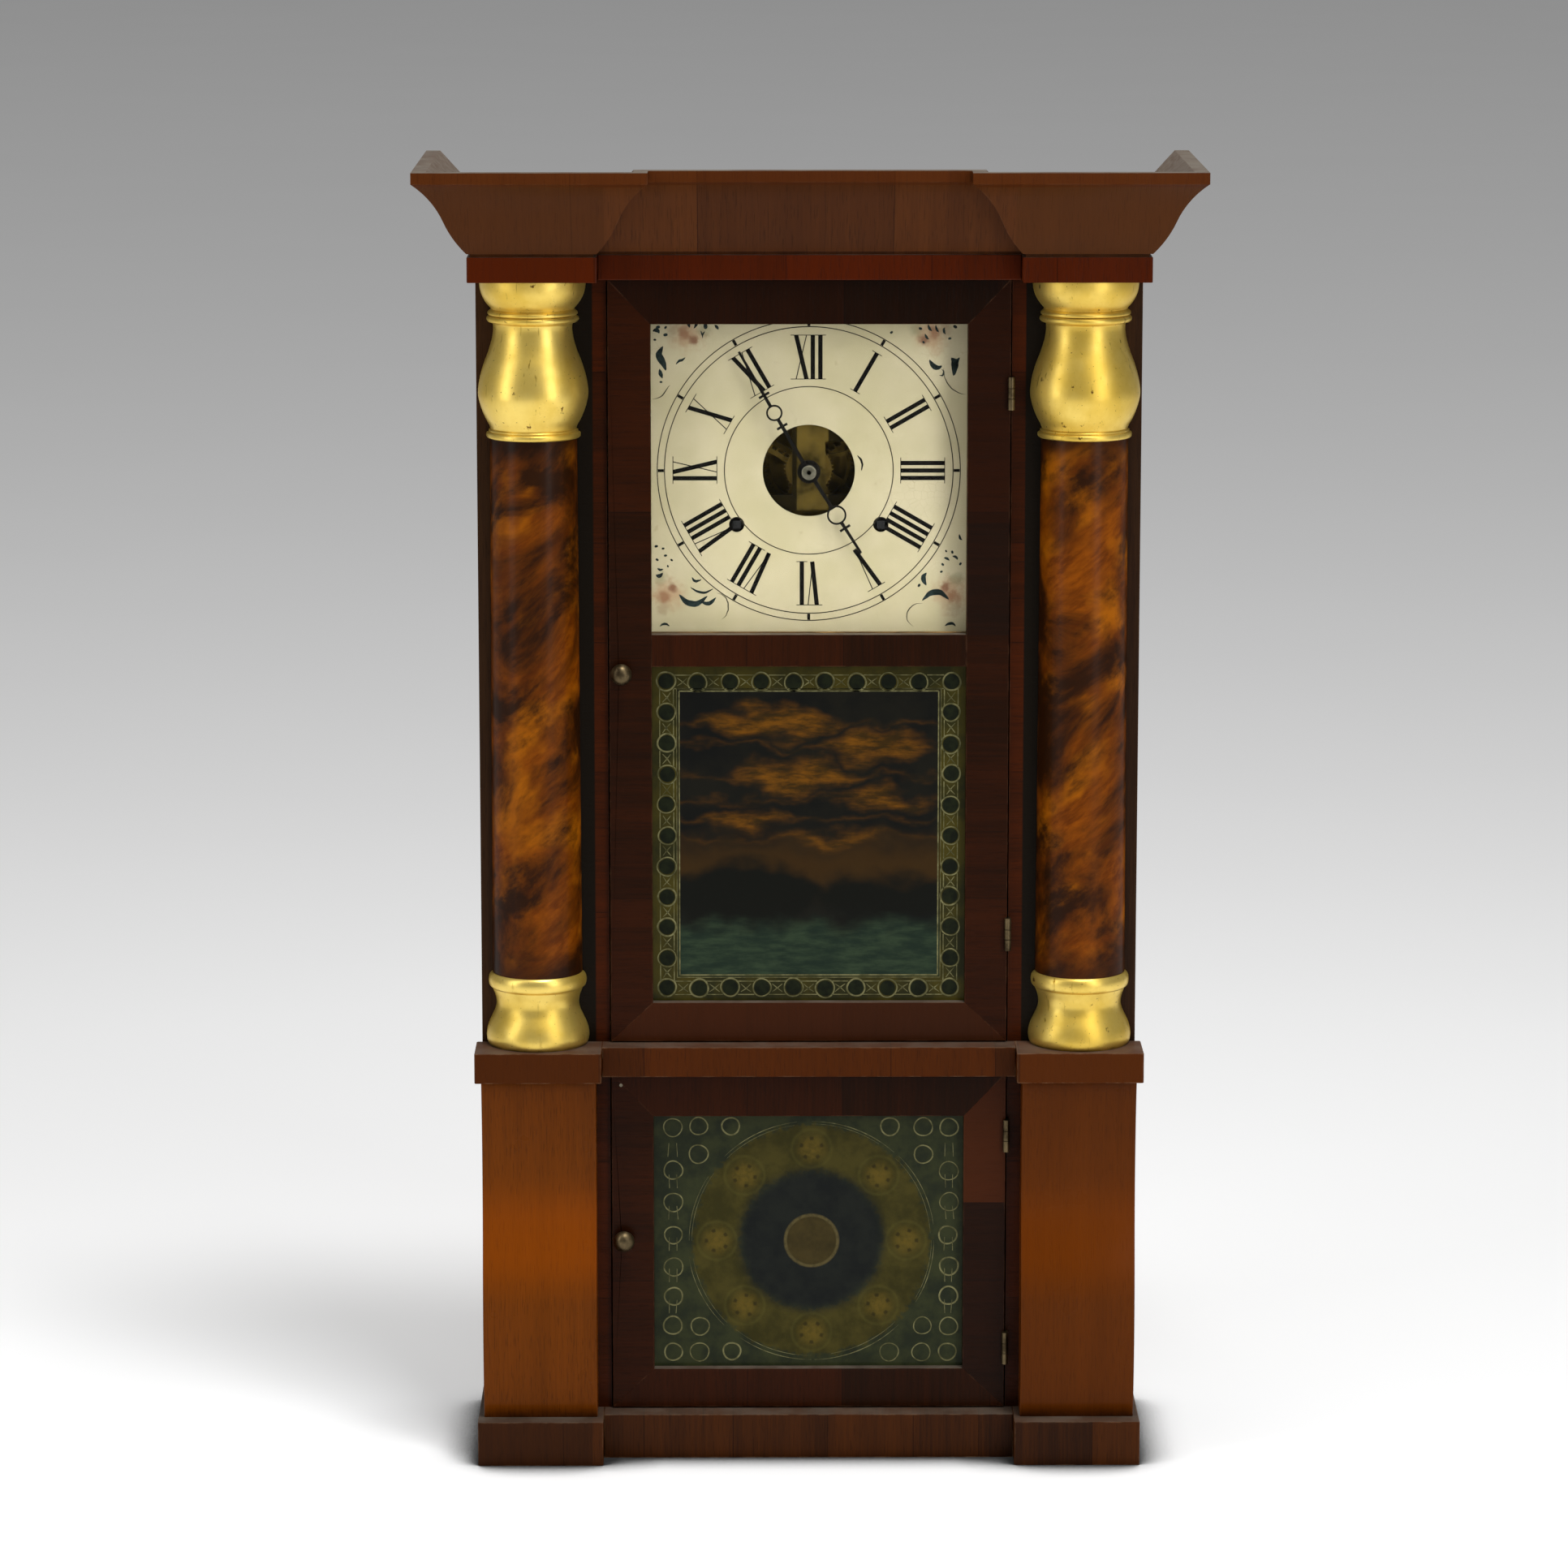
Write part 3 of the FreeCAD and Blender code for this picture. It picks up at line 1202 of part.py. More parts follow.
def drums():
    """Each great wheel's cord drum, on the arbor that is wound through the dial."""
    square_front = "dial_setback - winding_square_reach"
    plate_end = f"{PLATE_FRONT} - free_clearance"
    tail = f"{WORKS_BACK} + plate_thick"
    low = f"{WORKS_FRONT} + drum_front_layer"
    high = f"{WORKS_BACK} - drum_back_layer"
    profile = [
        ("0", plate_end),
        ("drum_arbor_radius", plate_end),
        ("drum_arbor_radius", low),
        ("drum_flange_radius", low),
        ("drum_flange_radius", f"{low} + drum_flange_thick"),
        ("drum_radius", f"{low} + drum_flange_thick"),
        ("drum_radius", f"{high} - drum_flange_thick"),
        ("drum_flange_radius", f"{high} - drum_flange_thick"),
        ("drum_flange_radius", high),
        ("drum_arbor_radius", high),
        ("drum_arbor_radius", tail),
        ("0", tail),
    ]
    side = "winding_square / 2"
    for name, sign in (("strike", "-"), ("time", "")):
        x = f"{sign}winding_spread / 2"
        z = f"{DIAL} - winding_drop"
        spool = turned(f"{name}_spool", "XY_Plane", profile, (x, "0", z))
        square = box(f"{name}_square", (f"{x} - {side}", f"{x} + {side}"), (square_front, plate_end),
                     (f"{z} - {side}", f"{z} + {side}"))
        node(f"{name}_drum", joined(f"{name}_wound", spool, square))


def hand(name, length, angle, ring, ring_radius, root, tip, hub_radius, bore, front, bars):
    """A flat steel hand: tapered blade, open ring, cross bars and a bored hub."""
    pieces = []
    blade = [(f"-{root} / 2", "0"), (f"{root} / 2", "0"), (f"{tip} / 2", length), (f"-{tip} / 2", length)]
    pieces.append(pad(f"{name}_blade", "XZ_Plane", "hand_thick", [blade], ("0", "0", "0")))
    pieces.append(rod(f"{name}_hub", hub_radius, "hand_thick", ("0", "0", "0")))
    pieces.append(rod(f"{name}_ring", ring_radius, "hand_thick", ("0", "0", ring)))
    for index, place in enumerate(bars):
        across = ("-hand_bar_length / 2", "hand_bar_length / 2")
        along = (f"{place} - hand_bar_width / 2", f"{place} + hand_bar_width / 2")
        pieces.append(box(f"{name}_bar_{index}", across, ("0", "hand_thick"), along))
    opening = rod(f"{name}_opening", f"{ring_radius} - hand_ring_wall", "hand_thick", ("0", "0", ring))
    hole = rod(f"{name}_hole", bore, "hand_thick", ("0", "0", "0"))
    blank = cut(f"{name}_flat", joined(f"{name}_blank", *pieces), opening, hole)
    set_hand = doc.addObject("Part::Compound", f"{name}_set")
    set_hand.Links = [blank]
    set_hand.Placement = FreeCAD.Placement(Vector(), FreeCAD.Rotation(Vector(0, 1, 0), 0))
    set_hand.setExpression("Placement.Rotation.Angle", spell(f"{angle} * 1 deg"))
    bind(set_hand, y=front, z=DIAL)
    return set_hand


def hands():
    """The minute and hour hands, at five minutes to five."""
    minute = hand("minute", "minute_hand_length", "minute_hand_angle", "minute_hand_ring",
                  "minute_hand_ring_radius", "minute_hand_root", "minute_hand_tip", "minute_hub_radius",
                  "cannon_radius", "dial_setback - minute_hand_lift",
                  ("minute_hand_low_bar", "minute_hand_high_bar"))
    nut = cut("hand_nut", rod("hand_nut_blank", "hand_nut_radius", "hand_thick",
                              ("0", "dial_setback - minute_hand_lift - hand_thick", DIAL)),
              rod("hand_nut_hole", "arbor_radius + running_clearance", "hand_thick",
                  ("0", "dial_setback - minute_hand_lift - hand_thick", DIAL)))
    node("minute_hand", minute, nut)
    hour = hand("hour", "hour_hand_length", "hour_hand_angle", "hour_hand_ring", "hour_hand_ring_radius",
                "hour_hand_root", "hour_hand_tip", "hour_hub_radius", "hour_pipe_radius",
                "dial_setback - hour_hand_lift", ("hour_hand_bar",))
    node("hour_hand", hour)


def escapement():
    """The anchor above the escape wheel, with its crutch behind the back plate."""
    arm = "escape_wheel_radius + pallet_clearance"
    tip_x = f"({arm}) * sin(pallet_angle * 1 deg)"
    tip_z = f"({arm}) * cos(pallet_angle * 1 deg) - verge_rise"
    shoulder_x = f"{tip_x} + anchor_width / 3"
    outline = [
        (f"-({shoulder_x})", "-anchor_width"),
        (f"-({tip_x})", tip_z),
        (f"-({tip_x} - anchor_width)", f"{tip_z} + anchor_width"),
        (f"-({tip_x} - anchor_width)", "-anchor_width"),
        ("0", "-anchor_arch"),
        (f"{tip_x} - anchor_width", "-anchor_width"),
        (f"{tip_x} - anchor_width", f"{tip_z} + anchor_width"),
        (tip_x, tip_z),
        (shoulder_x, "-anchor_width"),
        ("0", "anchor_hub_radius"),
    ]
    level = f"{DIAL} + {VERGE_Z}"
    layer = f"{WORKS_FRONT} + escape_layer + wheel_thick / 2 - anchor_thick / 2"
    anchor = pad("anchor", "XZ_Plane", "anchor_thick", [outline], ("0", layer, level))
    tail = f"{PLATE_BACK} + crutch_offset + crutch_width"
    start = f"{WORKS_FRONT} + end_play"
    staff = rod("verge_staff", "arbor_radius", f"{tail} - ({start})", ("0", start, level))
    pivot = rod("verge_pivot", "pivot_radius", "pivot_reach + end_play",
                ("0", f"{WORKS_FRONT} - pivot_reach", level))
    crutch_front = f"{PLATE_BACK} + crutch_offset"
    crutch = box("crutch", ("-crutch_width / 2", "crutch_width / 2"), (crutch_front, tail),
                 (f"{level} - crutch_drop", level))
    fork_y = (crutch_front, f"{PLATE_BACK} + pendulum_offset + pendulum_rod_radius * 2")
    gap = "pendulum_rod_radius + free_clearance"
    bridge = box("crutch_bridge", (f"-({gap} + crutch_width)", f"{gap} + crutch_width"), (crutch_front, tail),
                 (f"{level} - crutch_drop - crutch_width", f"{level} - crutch_drop"))
    prong = box("crutch_prong", (gap, f"{gap} + crutch_width"), fork_y,
                (f"{level} - crutch_drop - crutch_width", f"{level} - crutch_drop"))
    node("verge", joined("verge_staked", anchor, staff, pivot, crutch, bridge, prong, mirrored(prong)))


def pendulum():
    """A wire pendulum on a suspension strip, with a brass bob and its rating nut."""
    level = f"{DIAL} + {VERGE_Z}"
    y = f"{PLATE_BACK} + pendulum_offset"
    bob_z = f"{level} - pendulum_length"
    foot = f"{bob_z} - pendulum_tail"
    strip_half = "suspension_width / 2"
    strip = box("suspension_strip", (f"-{strip_half}", strip_half),
                (f"{y} - pendulum_rod_radius / 2", f"{y} + pendulum_rod_radius / 2"),
                (f"{level} - suspension_drop", f"{level} + cock_rise - free_clearance"))
    wire = rod("pendulum_wire", "pendulum_rod_radius", f"({level} - suspension_drop) - ({foot})",
               ("0", y, foot), "Z")
    nut_z = f"{bob_z} - bob_radius - rating_nut_height"
    nut = rod("rating_nut", "rating_nut_radius", "rating_nut_height", ("0", y, nut_z), "Z")
    node("pendulum_rod", joined("pendulum_wired", strip, wire, nut))
    half = "bob_thick / 2"
    curve = dome_radius("bob_radius", "(bob_thick - bob_edge) / 2")
    lens = [
        ("0", f"-{half}", curve),
        ("bob_radius", "-bob_edge / 2"),
        ("bob_radius", "bob_edge / 2", curve),
        ("0", half),
    ]
    bob = turned("bob_lens", "XY_Plane", lens, ("0", y, bob_z))
    bore = rod("bob_bore", "pendulum_rod_radius", "2 * bob_radius", ("0", y, f"{bob_z} - bob_radius"), "Z")
    node("pendulum_bob", cut("bob_bored", bob, bore))


def strike():
    """The coiled wire gong on its iron stand, and the hammer that strikes it."""
    level = f"{DIAL} - gong_drop"
    y = f"{BACK_INSIDE} - gong_standoff"
    node("gong", gong_coil(number(y), number(level)))
    stand_x = ("-gong_radius - gong_stand_width", "gong_wire_radius + gong_stand_lip - gong_radius")
    stand = box("stand", stand_x, (f"{BACK_INSIDE} - gong_stand_depth", BACK_INSIDE),
                (f"{level} - gong_stand_height", level))
    node("gong_stand", stand)
    x = "-hammer_left"
    z = f"{DIAL} - hammer_drop"
    hub_y = f"{PLATE_BACK} + hammer_offset - hammer_hub_length / 2"
    hub = rod("hammer_hub", "hammer_hub_radius", "hammer_hub_length", (x, hub_y, z))
    width = "hammer_rod_width / 2"
    stem_y = f"{PLATE_BACK} + hammer_offset"
    stem = box("hammer_stem", (f"{x} - {width}", f"{x} + {width}"),
               (f"{stem_y} - {width}", f"{stem_y} + {width}"), (f"{z} - hammer_length", z))
    head = rod("hammer_head", "hammer_head_radius", "hammer_head_length",
               (f"{x} - hammer_head_length / 2", stem_y, f"{z} - hammer_length"), "X")
    hole = rod("hammer_hole", "arbor_radius + running_clearance", "hammer_hub_length", (x, hub_y, z))
    node("strike_hammer", cut("hammer_bored", joined("hammer_blank", hub, stem, head), hole))


def gong_coil(y, z):
    """A flat coil of wire: half circles whose radius shrinks by half the pitch each half turn."""
    outer = number("gong_radius")
    step = number("gong_pitch") / 2
    wire_radius = number("gong_wire_radius")
    edges = []
    left = -outer
    side = 1
    for turn in range(GONG_HALF_TURNS):
        radius = outer - step * (turn + 0.5)
        centre = left + side * radius
        end = left + side * 2 * radius
        crown = Vector(centre, y, z + side * radius)
        edges.append(Part.Arc(Vector(left, y, z), crown, Vector(end, y, z)).toShape())
        left = end
        side = -side
    path = Part.Wire(edges)
    profile = Part.Wire(Part.makeCircle(wire_radius, Vector(-outer, y, z), Vector(0, 0, 1)))
    shell = Part.BRepOffsetAPI.MakePipeShell(path)
    shell.add(profile)
    shell.build()
    shell.makeSolid()
    coil = doc.addObject("Part::Feature", "gong_coil")
    coil.Shape = shell.shape()
    print("gong: least gap between turns", round(least_gap(path, 2 * wire_radius), 2), "mm")
    return coil


def least_gap(path, diameter):
    """The least clear space between the turns of a wire, measured on points along it."""
    points = path.discretize(GONG_POINTS)
    skip = math.ceil(TURN_DIAMETERS * diameter / path.Length * GONG_POINTS)
    gaps = [point.distanceToPoint(other)
            for index, point in enumerate(points) for other in points[index + skip:]]
    return min(gaps) - diameter


def weights():
    """Two cast-iron weights, run down to the floor of their channels, and the pulleys above them."""
    across = f"(({INSIDE}) - ({WALL_OUTER})) / 2 - weight_clearance"
    along = "weight_side / 2"
    flat_across = f"{across} - weight_chamfer"
    flat_along = f"{along} - weight_chamfer"
    outline = [
        (across, f"-({flat_along})"),
        (across, flat_along),
        (flat_across, along),
        (f"-({flat_across})", along),
        (f"-({across})", flat_along),
        (f"-({across})", f"-({flat_along})"),
        (f"-({flat_across})", f"-{along}"),
        (flat_across, f"-{along}"),
    ]
    foot = f"{FLOOR} + free_clearance"
    z = f"{CEILING} - pulley_drop"
    cheek = "pulley_thick / 2 + free_clearance"
    yokes = []
    for hand_name, sign in (("left", "-"), ("right", "")):
        x = f"{sign}{CHANNEL}"
        block = pad(f"weight_{hand_name}_block", "XY_Plane", "weight_height", [outline],
                    (x, "weight_setback", foot))
        bail = doc.addObject("Part::Torus", f"weight_{hand_name}_bail")
        bail.Placement = FreeCAD.Placement(Vector(), FreeCAD.Rotation(Vector(1, 0, 0), 90))
        bind(bail, Radius1="weight_bail_radius", Radius2="weight_bail_wire", x=x, y="weight_setback",
             z=f"{foot} + weight_height")
        node(f"weight_{hand_name}", joined(f"weight_{hand_name}_cast", block, bail))
        groove = "pulley_radius - pulley_groove"
        x = f"{sign}({CHANNEL} - ({groove}))"
        bore = "pulley_pin_radius + running_clearance"
        side = "pulley_thick / 2"
        profile = [
            (bore, f"-{side}"),
            ("pulley_radius", f"-{side}"),
            (groove, "0"),
            ("pulley_radius", side),
            (bore, side),
        ]
        name = f"pulley_{hand_name}"
        node(name, turned(f"{name}_wheel", "XY_Plane", profile, (x, "weight_setback", z)))
        yoke_front = f"weight_setback - ({cheek}) - yoke_thick"
        pieces = [rod(f"{name}_pin", "pulley_pin_radius", f"2 * ({cheek} + yoke_thick)", (x, yoke_front, z))]
        for tag, front in (("front", yoke_front), ("back", f"weight_setback + {cheek}")):
            pieces.append(box(f"{name}_{tag}", (f"{x} - yoke_width / 2", f"{x} + yoke_width / 2"),
                              (front, f"{front} + yoke_thick"), (f"{z} - yoke_tail", CEILING)))
        yokes.append(joined(f"{name}_yoke", *pieces))
    node("pulley_yokes", *yokes)


def check_document():
    """Stops the build where an object failed or a sub-part has no valid solid."""
    for thing in doc.Objects:
        if "Invalid" in thing.State or "Error" in thing.State:
            raise RuntimeError(f"{thing.Name} failed: {thing.State}")
    for part in nodes:
        shape = part.Shape
        if shape.isNull() or not shape.isValid() or not shape.Solids:
            raise RuntimeError(f"{part.Label} has no valid solid")


def write_parts():
    """Writes each sub-part to its own file."""
    os.makedirs("parts", exist_ok=True)
    for part in nodes:
        part.Shape.exportStep(f"parts/{part.Label}.step")


fill_sheet()
carcass()
courses()
pedestals()
columns()
cornice()
hinges()
doors()
dial()
inner_walls()
movement_plates()
trains()
drums()
hands()
escapement()
pendulum()
strike()
weights()
doc.recompute()
check_document()
write_parts()
print(len(nodes), "sub-parts written")
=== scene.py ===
# %% [markdown]
# A weight-driven shelf clock of three tiers, dressed for the studio. The solid model gives every
# board, pane, wheel and hand its place. This lesson adds what the solids leave out: veneers, gilding,
# graining, the painted dial and the painted glass, then a camera, a pale floor and soft lamps.

# %% Load the frame
import math
import random

import bmesh
import bpy
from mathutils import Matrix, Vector


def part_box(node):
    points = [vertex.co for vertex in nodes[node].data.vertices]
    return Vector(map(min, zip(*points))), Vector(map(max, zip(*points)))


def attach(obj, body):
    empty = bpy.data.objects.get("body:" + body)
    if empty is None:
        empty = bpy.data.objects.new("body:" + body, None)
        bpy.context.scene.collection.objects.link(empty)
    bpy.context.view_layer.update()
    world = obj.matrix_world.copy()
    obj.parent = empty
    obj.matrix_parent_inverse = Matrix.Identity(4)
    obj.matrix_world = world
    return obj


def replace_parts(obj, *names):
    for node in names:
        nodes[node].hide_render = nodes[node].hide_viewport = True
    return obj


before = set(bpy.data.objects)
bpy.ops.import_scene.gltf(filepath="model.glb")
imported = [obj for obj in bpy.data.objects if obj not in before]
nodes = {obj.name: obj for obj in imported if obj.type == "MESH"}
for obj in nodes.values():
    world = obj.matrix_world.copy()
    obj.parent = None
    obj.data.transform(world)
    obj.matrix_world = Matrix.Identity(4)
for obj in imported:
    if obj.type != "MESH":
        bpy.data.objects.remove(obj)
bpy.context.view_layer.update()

MM = 0.001

# %% [markdown]
# The photographer stood a little left of the middle, with a long lens, and looked slightly down.
# A long lens far away keeps the uprights straight, which suits a piece of case furniture.

# %% Camera
LENS = 135.25
SENSOR = 36.0
CAMERA_PLACE = Vector((-0.03594, -3.7315, 1.12896))
CAMERA_DOWN = 0.1831
CAMERA_TURN = 0.0054

lens = bpy.data.cameras.new("camera")
lens.lens = LENS
lens.sensor_width = SENSOR
camera = bpy.data.objects.new("camera", lens)
camera.location = CAMERA_PLACE
camera.rotation_euler = (math.pi / 2 - CAMERA_DOWN, 0.0, -CAMERA_TURN)
bpy.context.scene.collection.objects.link(camera)
bpy.context.scene.camera = camera
bpy.context.scene.view_settings.view_transform = "Standard"
print("camera at", [round(v, 3) for v in camera.location])

# %% [markdown]
# Every look below is a small net of shader nodes. A class for the values in a net keeps them readable:
# sums and comparisons on a value add the nodes that work them out, "spread" carries it to another range,
# "blend" uses it as the share of two colours, and "noise" draws a random cloud at a place.

# %% Node helpers
COLOUR_SOCKETS = ("Color", "Light", "Dark")
WELD_GAP, EASE_ANGLE = 0.005, 40


def rgb(code):
    """A screen colour written in hex, as linear light."""
    parts = [int(code[i:i + 2], 16) / 255 for i in (1, 3, 5)]
    return tuple(p / 12.92 if p <= 0.04045 else ((p + 0.055) / 1.055) ** 2.4 for p in parts) + (1.0,)


def connect(node, inputs):
    """Fills a node's inputs with numbers, hex colours or what other nodes put out."""
    for key, value in inputs.items():
        if isinstance(value, Value):
            node.id_data.links.new(value.socket, node.inputs[key])
        else:
            node.inputs[key].default_value = rgb(value) if isinstance(value, str) else value
    return node


def add(tree, kind, inputs=None, **settings):
    """A shader node with its settings and inputs."""
    node = tree.nodes.new("ShaderNode" + kind)
    for key, value in settings.items():
        setattr(node, key, value)
    return connect(node, inputs or {})


def values(node):
    """All that a node puts out, by name."""
    return {socket.name: Value(socket) for socket in node.outputs}


class Value:
    """A number, place or colour in a net; each step on it adds a node."""

    def __init__(self, socket):
        self.socket = socket

    def step(self, kind, inputs, output=0, **settings):
        """What one new node in the same net puts out."""
        return Value(add(self.socket.id_data, kind, inputs, **settings).outputs[output])

    def calc(self, operation, *others):
        """One step of reckoning on this number and others."""
        return self.step("Math", dict(enumerate((self, *others))), operation=operation)

    def __add__(self, other):
        return self.calc("ADD", other)

    def __sub__(self, other):
        return self.calc("SUBTRACT", other)

    def __rsub__(self, other):
        return self.step("Math", {0: other, 1: self}, operation="SUBTRACT")

    def __mul__(self, other):
        return self.calc("MULTIPLY", other)

    def __truediv__(self, other):
        return self.calc("DIVIDE", other)

    def __gt__(self, other):
        return self.calc("GREATER_THAN", other)

    def __lt__(self, other):
        return self.calc("LESS_THAN", other)

    def __abs__(self):
        return self.calc("ABSOLUTE")

    def spread(self, low, high, start=0.0, end=1.0):
        """This number carried from one range to another, eased and kept inside it."""
        inputs = {"Value": self, "From Min": low, "From Max": high, "To Min": start, "To Max": end}
        return self.step("MapRange", inputs, interpolation_type="SMOOTHSTEP")

    def blend(self, first, second):
        """A colour between two, with this number as the share of the second."""
        return self.step("Mix", {0: self, 6: first, 7: second}, 2, data_type="RGBA")

    def parts(self):
        """The three numbers of this place or direction."""
        return [Value(socket) for socket in add(self.socket.id_data, "SeparateXYZ", {0: self}).outputs]

    def stretched(self, across, along, deep):
        """This place scaled by its own factor along each axis."""
        return self.step("VectorMath", {0: self, 1: (across, along, deep)}, operation="MULTIPLY")

    def noise(self, scale=1.0, detail=3.0, rough=0.5, bend=0.0):
        """Soft random cloud at this place, about 0.3 to 0.7."""
        inputs = {"Vector": self, "Scale": scale, "Detail": detail, "Roughness": rough, "Distortion": bend}
        return self.step("TexNoise", inputs)


def vector(x, y, z):
    """Three numbers as one place."""
    return x.step("CombineXYZ", {0: x, 1: y, 2: z})


def distance(across, up):
    """How far a point lies from a centre."""
    return (across * across + up * up).calc("SQRT")


def point(tree):
    """The point on the piece, in metres."""
    return values(add(tree, "TexCoord"))["Object"]


def where(tree):
    """The point on the piece, and its three coordinates."""
    place = point(tree)
    return place, *place.parts()


def facing(tree):
    """The direction a face looks in."""
    return values(add(tree, "NewGeometry"))["Normal"]


def new_group(name, inputs, outputs):
    """An empty node group with its sockets; gives the tree, what goes into it and its output node."""
    tree = bpy.data.node_groups.new(name, "ShaderNodeTree")
    for way, labels in (("INPUT", inputs), ("OUTPUT", outputs)):
        for label in labels:
            kind = "NodeSocketColor" if label in COLOUR_SOCKETS else "NodeSocketFloat"
            tree.interface.new_socket(label, in_out=way, socket_type=kind)
    given = values(tree.nodes.new("NodeGroupInput"))
    return tree, given, tree.nodes.new("NodeGroupOutput")


def use(tree, group, **inputs):
    """What a node group puts out in a material."""
    node = tree.nodes.new("ShaderNodeGroup")
    node.node_tree = group
    return values(connect(node, inputs))


def new_material(name, **sockets):
    """A material with one Principled shader; plain numbers go on the shader's own sockets."""
    material = bpy.data.materials.new(name)
    material.use_nodes = True
    tree = material.node_tree
    shader = tree.nodes["Principled BSDF"]
    for label, value in sockets.items():
        shader.inputs[label.replace("_", " ").title().replace("Ior", "IOR")].default_value = value
    return material, tree, shader


def bump(shader, height, strength, depth):
    """Small relief from a height."""
    relief = height.step("Bump", {"Height": height, "Strength": strength, "Distance": depth})
    connect(shader, {"Normal": relief})


def give(material, *names):
    """Puts a material on solid-model nodes."""
    for name in names:
        nodes[name].data.materials.clear()
        nodes[name].data.materials.append(material)


def soften(width, *names):
    """Eases the sharp edges of solid-model nodes, as sanding and wear do; width in millimetres."""
    for name in names:
        weld = nodes[name].modifiers.new("weld", "WELD")
        weld.merge_threshold = WELD_GAP * MM
        edge = nodes[name].modifiers.new("eased_edges", "BEVEL")
        edge.width = width * MM
        edge.segments = 2
        edge.limit_method = "ANGLE"
        edge.angle_limit = math.radians(EASE_ANGLE)


print("white is", [round(v, 2) for v in rgb("#ffffff")])

# %% [markdown]
# The clock stands on a wide pale floor with no wall behind it, so it can be looked at from every side.
# The ground fades from white near the clock to grey far away. The lamps reach only the near part, so
# further out the floor gets a faint glow of its own, which the camera and shiny surfaces see. Close under
# the plinth both the glow and the paint darken, as a contact shadow does.

# %% Floor
FLOOR_HALF = 80.0
FADE_REACH = 3.0
CONTACT_REACH = 0.04
GLOW_STOPS = ((0.0, 0.25), (1.0, 0.02), (0.12, 0.32), (0.31, 0.312), (0.54, 0.233), (0.8, 0.123))
FLOOR_PALE, FLOOR_SHADE, BLACK = "#f6f6f6", "#f2f2f2", "#000000"

floor_corners = [(x * FLOOR_HALF, y * FLOOR_HALF, 0.0) for x, y in ((-1, -1), (1, -1), (1, 1), (-1, 1))]
floor_mesh = bpy.data.meshes.new("floor")
floor_mesh.from_pydata(floor_corners, [], [(0, 1, 2, 3)])
floor = bpy.data.objects.new("floor", floor_mesh)
bpy.context.scene.collection.objects.link(floor)

floor_paint, tree, shader = new_material("floor_paint", roughness=0.95, specular_ior_level=0.0,
                                         emission_strength=1.0)
place = point(tree)
away = place.step("VectorMath", {0: place}, "Value", operation="LENGTH")
glow = add(tree, "ValToRGB", {0: away / (away + FADE_REACH)})
stops = glow.color_ramp.elements
for number, (stop, level) in enumerate(GLOW_STOPS):
    element = stops[number] if number < 2 else stops.new(stop)
    element.position = stop
    element.color = (level, level, level, 1.0)
rays = values(add(tree, "LightPath"))
seen = rays["Is Camera Ray"] + rays["Is Glossy Ray"]
seen = (seen + rays["Is Transmission Ray"]).calc("MINIMUM", 1.0)
open_sky = place.step("AmbientOcclusion", {"Distance": CONTACT_REACH}, "AO", samples=8)
contact = open_sky.spread(0.5, 0.95, 0.03, 1.0)
mottle = place.noise(2.0).blend(FLOOR_SHADE, FLOOR_PALE)
connect(shader, {"Emission Color": (seen * contact).blend(BLACK, values(glow)["Color"]),
                 "Base Color": contact.blend(BLACK, mottle)})
floor_paint.cycles.emission_sampling = "NONE"
floor_mesh.materials.append(floor_paint)
print("floor is", 2 * FLOOR_HALF, "m wide")

# %% [markdown]
# Two tall soft boxes stand near the clock, left and right, and draw an upright highlight on each side of
# the columns. A smaller lamp high at the right throws the shadow to the left, and a wide one above lights
# the ledges. A grey room fills in the rest.

# %% Lamps
CLOCK_MIDDLE = Vector((0.0, 0.0, 0.42))
LAMPS = (("left_box", (-1.35, -0.75, 1.05), 0.48, 1.7, 7.2),
         ("right_box", (0.95, -1.25, 1.05), 0.5, 1.7, 9.5),
         ("high_box", (0.6, -1.18, 3.8), 0.9, 0.9, 66.0),
         ("top_box", (0.0, -0.9, 2.7), 2.6, 1.8, 7.0))
ROOM_GREY = "#7c7c7c"

for name, spot, width, height, power in LAMPS:
    lamp = bpy.data.lights.new(name, "AREA")
    lamp.shape = "RECTANGLE"
    lamp.size = width
    lamp.size_y = height
    lamp.energy = power
    holder = bpy.data.objects.new(name, lamp)
    holder.location = spot
    holder.rotation_euler = (CLOCK_MIDDLE - Vector(spot)).to_track_quat("-Z", "Y").to_euler()
    holder.visible_camera = False
    bpy.context.scene.collection.objects.link(holder)

world = bpy.data.worlds.new("studio")
bpy.context.scene.world = world
world.use_nodes = True
connect(world.node_tree.nodes["Background"], {"Color": ROOM_GREY, "Strength": 1.0})
print("lamps:", [lamp.name for lamp in bpy.data.lights])

# %% [markdown]
# Mahogany veneer shows ribbons of light and dark, fine fibres and short dark pores, all drawn out along
# the grain. The net stretches random clouds along the grain; each leaf of veneer shifts the pattern, so
# neighbours differ as two sheets cut from the log do.

# %% Wood grain
RIBBON = (60.0, 3.5, 1.0)
FIBRE = (620.0, 16.0, 1.0)
PORE = (1500.0, 80.0, 1.0)
RIBBON_SHARE, FIBRE_SHARE, PORE_SHARE = 0.58, 0.42, 0.3
LEAF_SHIFT, LEAF_TONE = 9.0, 0.36

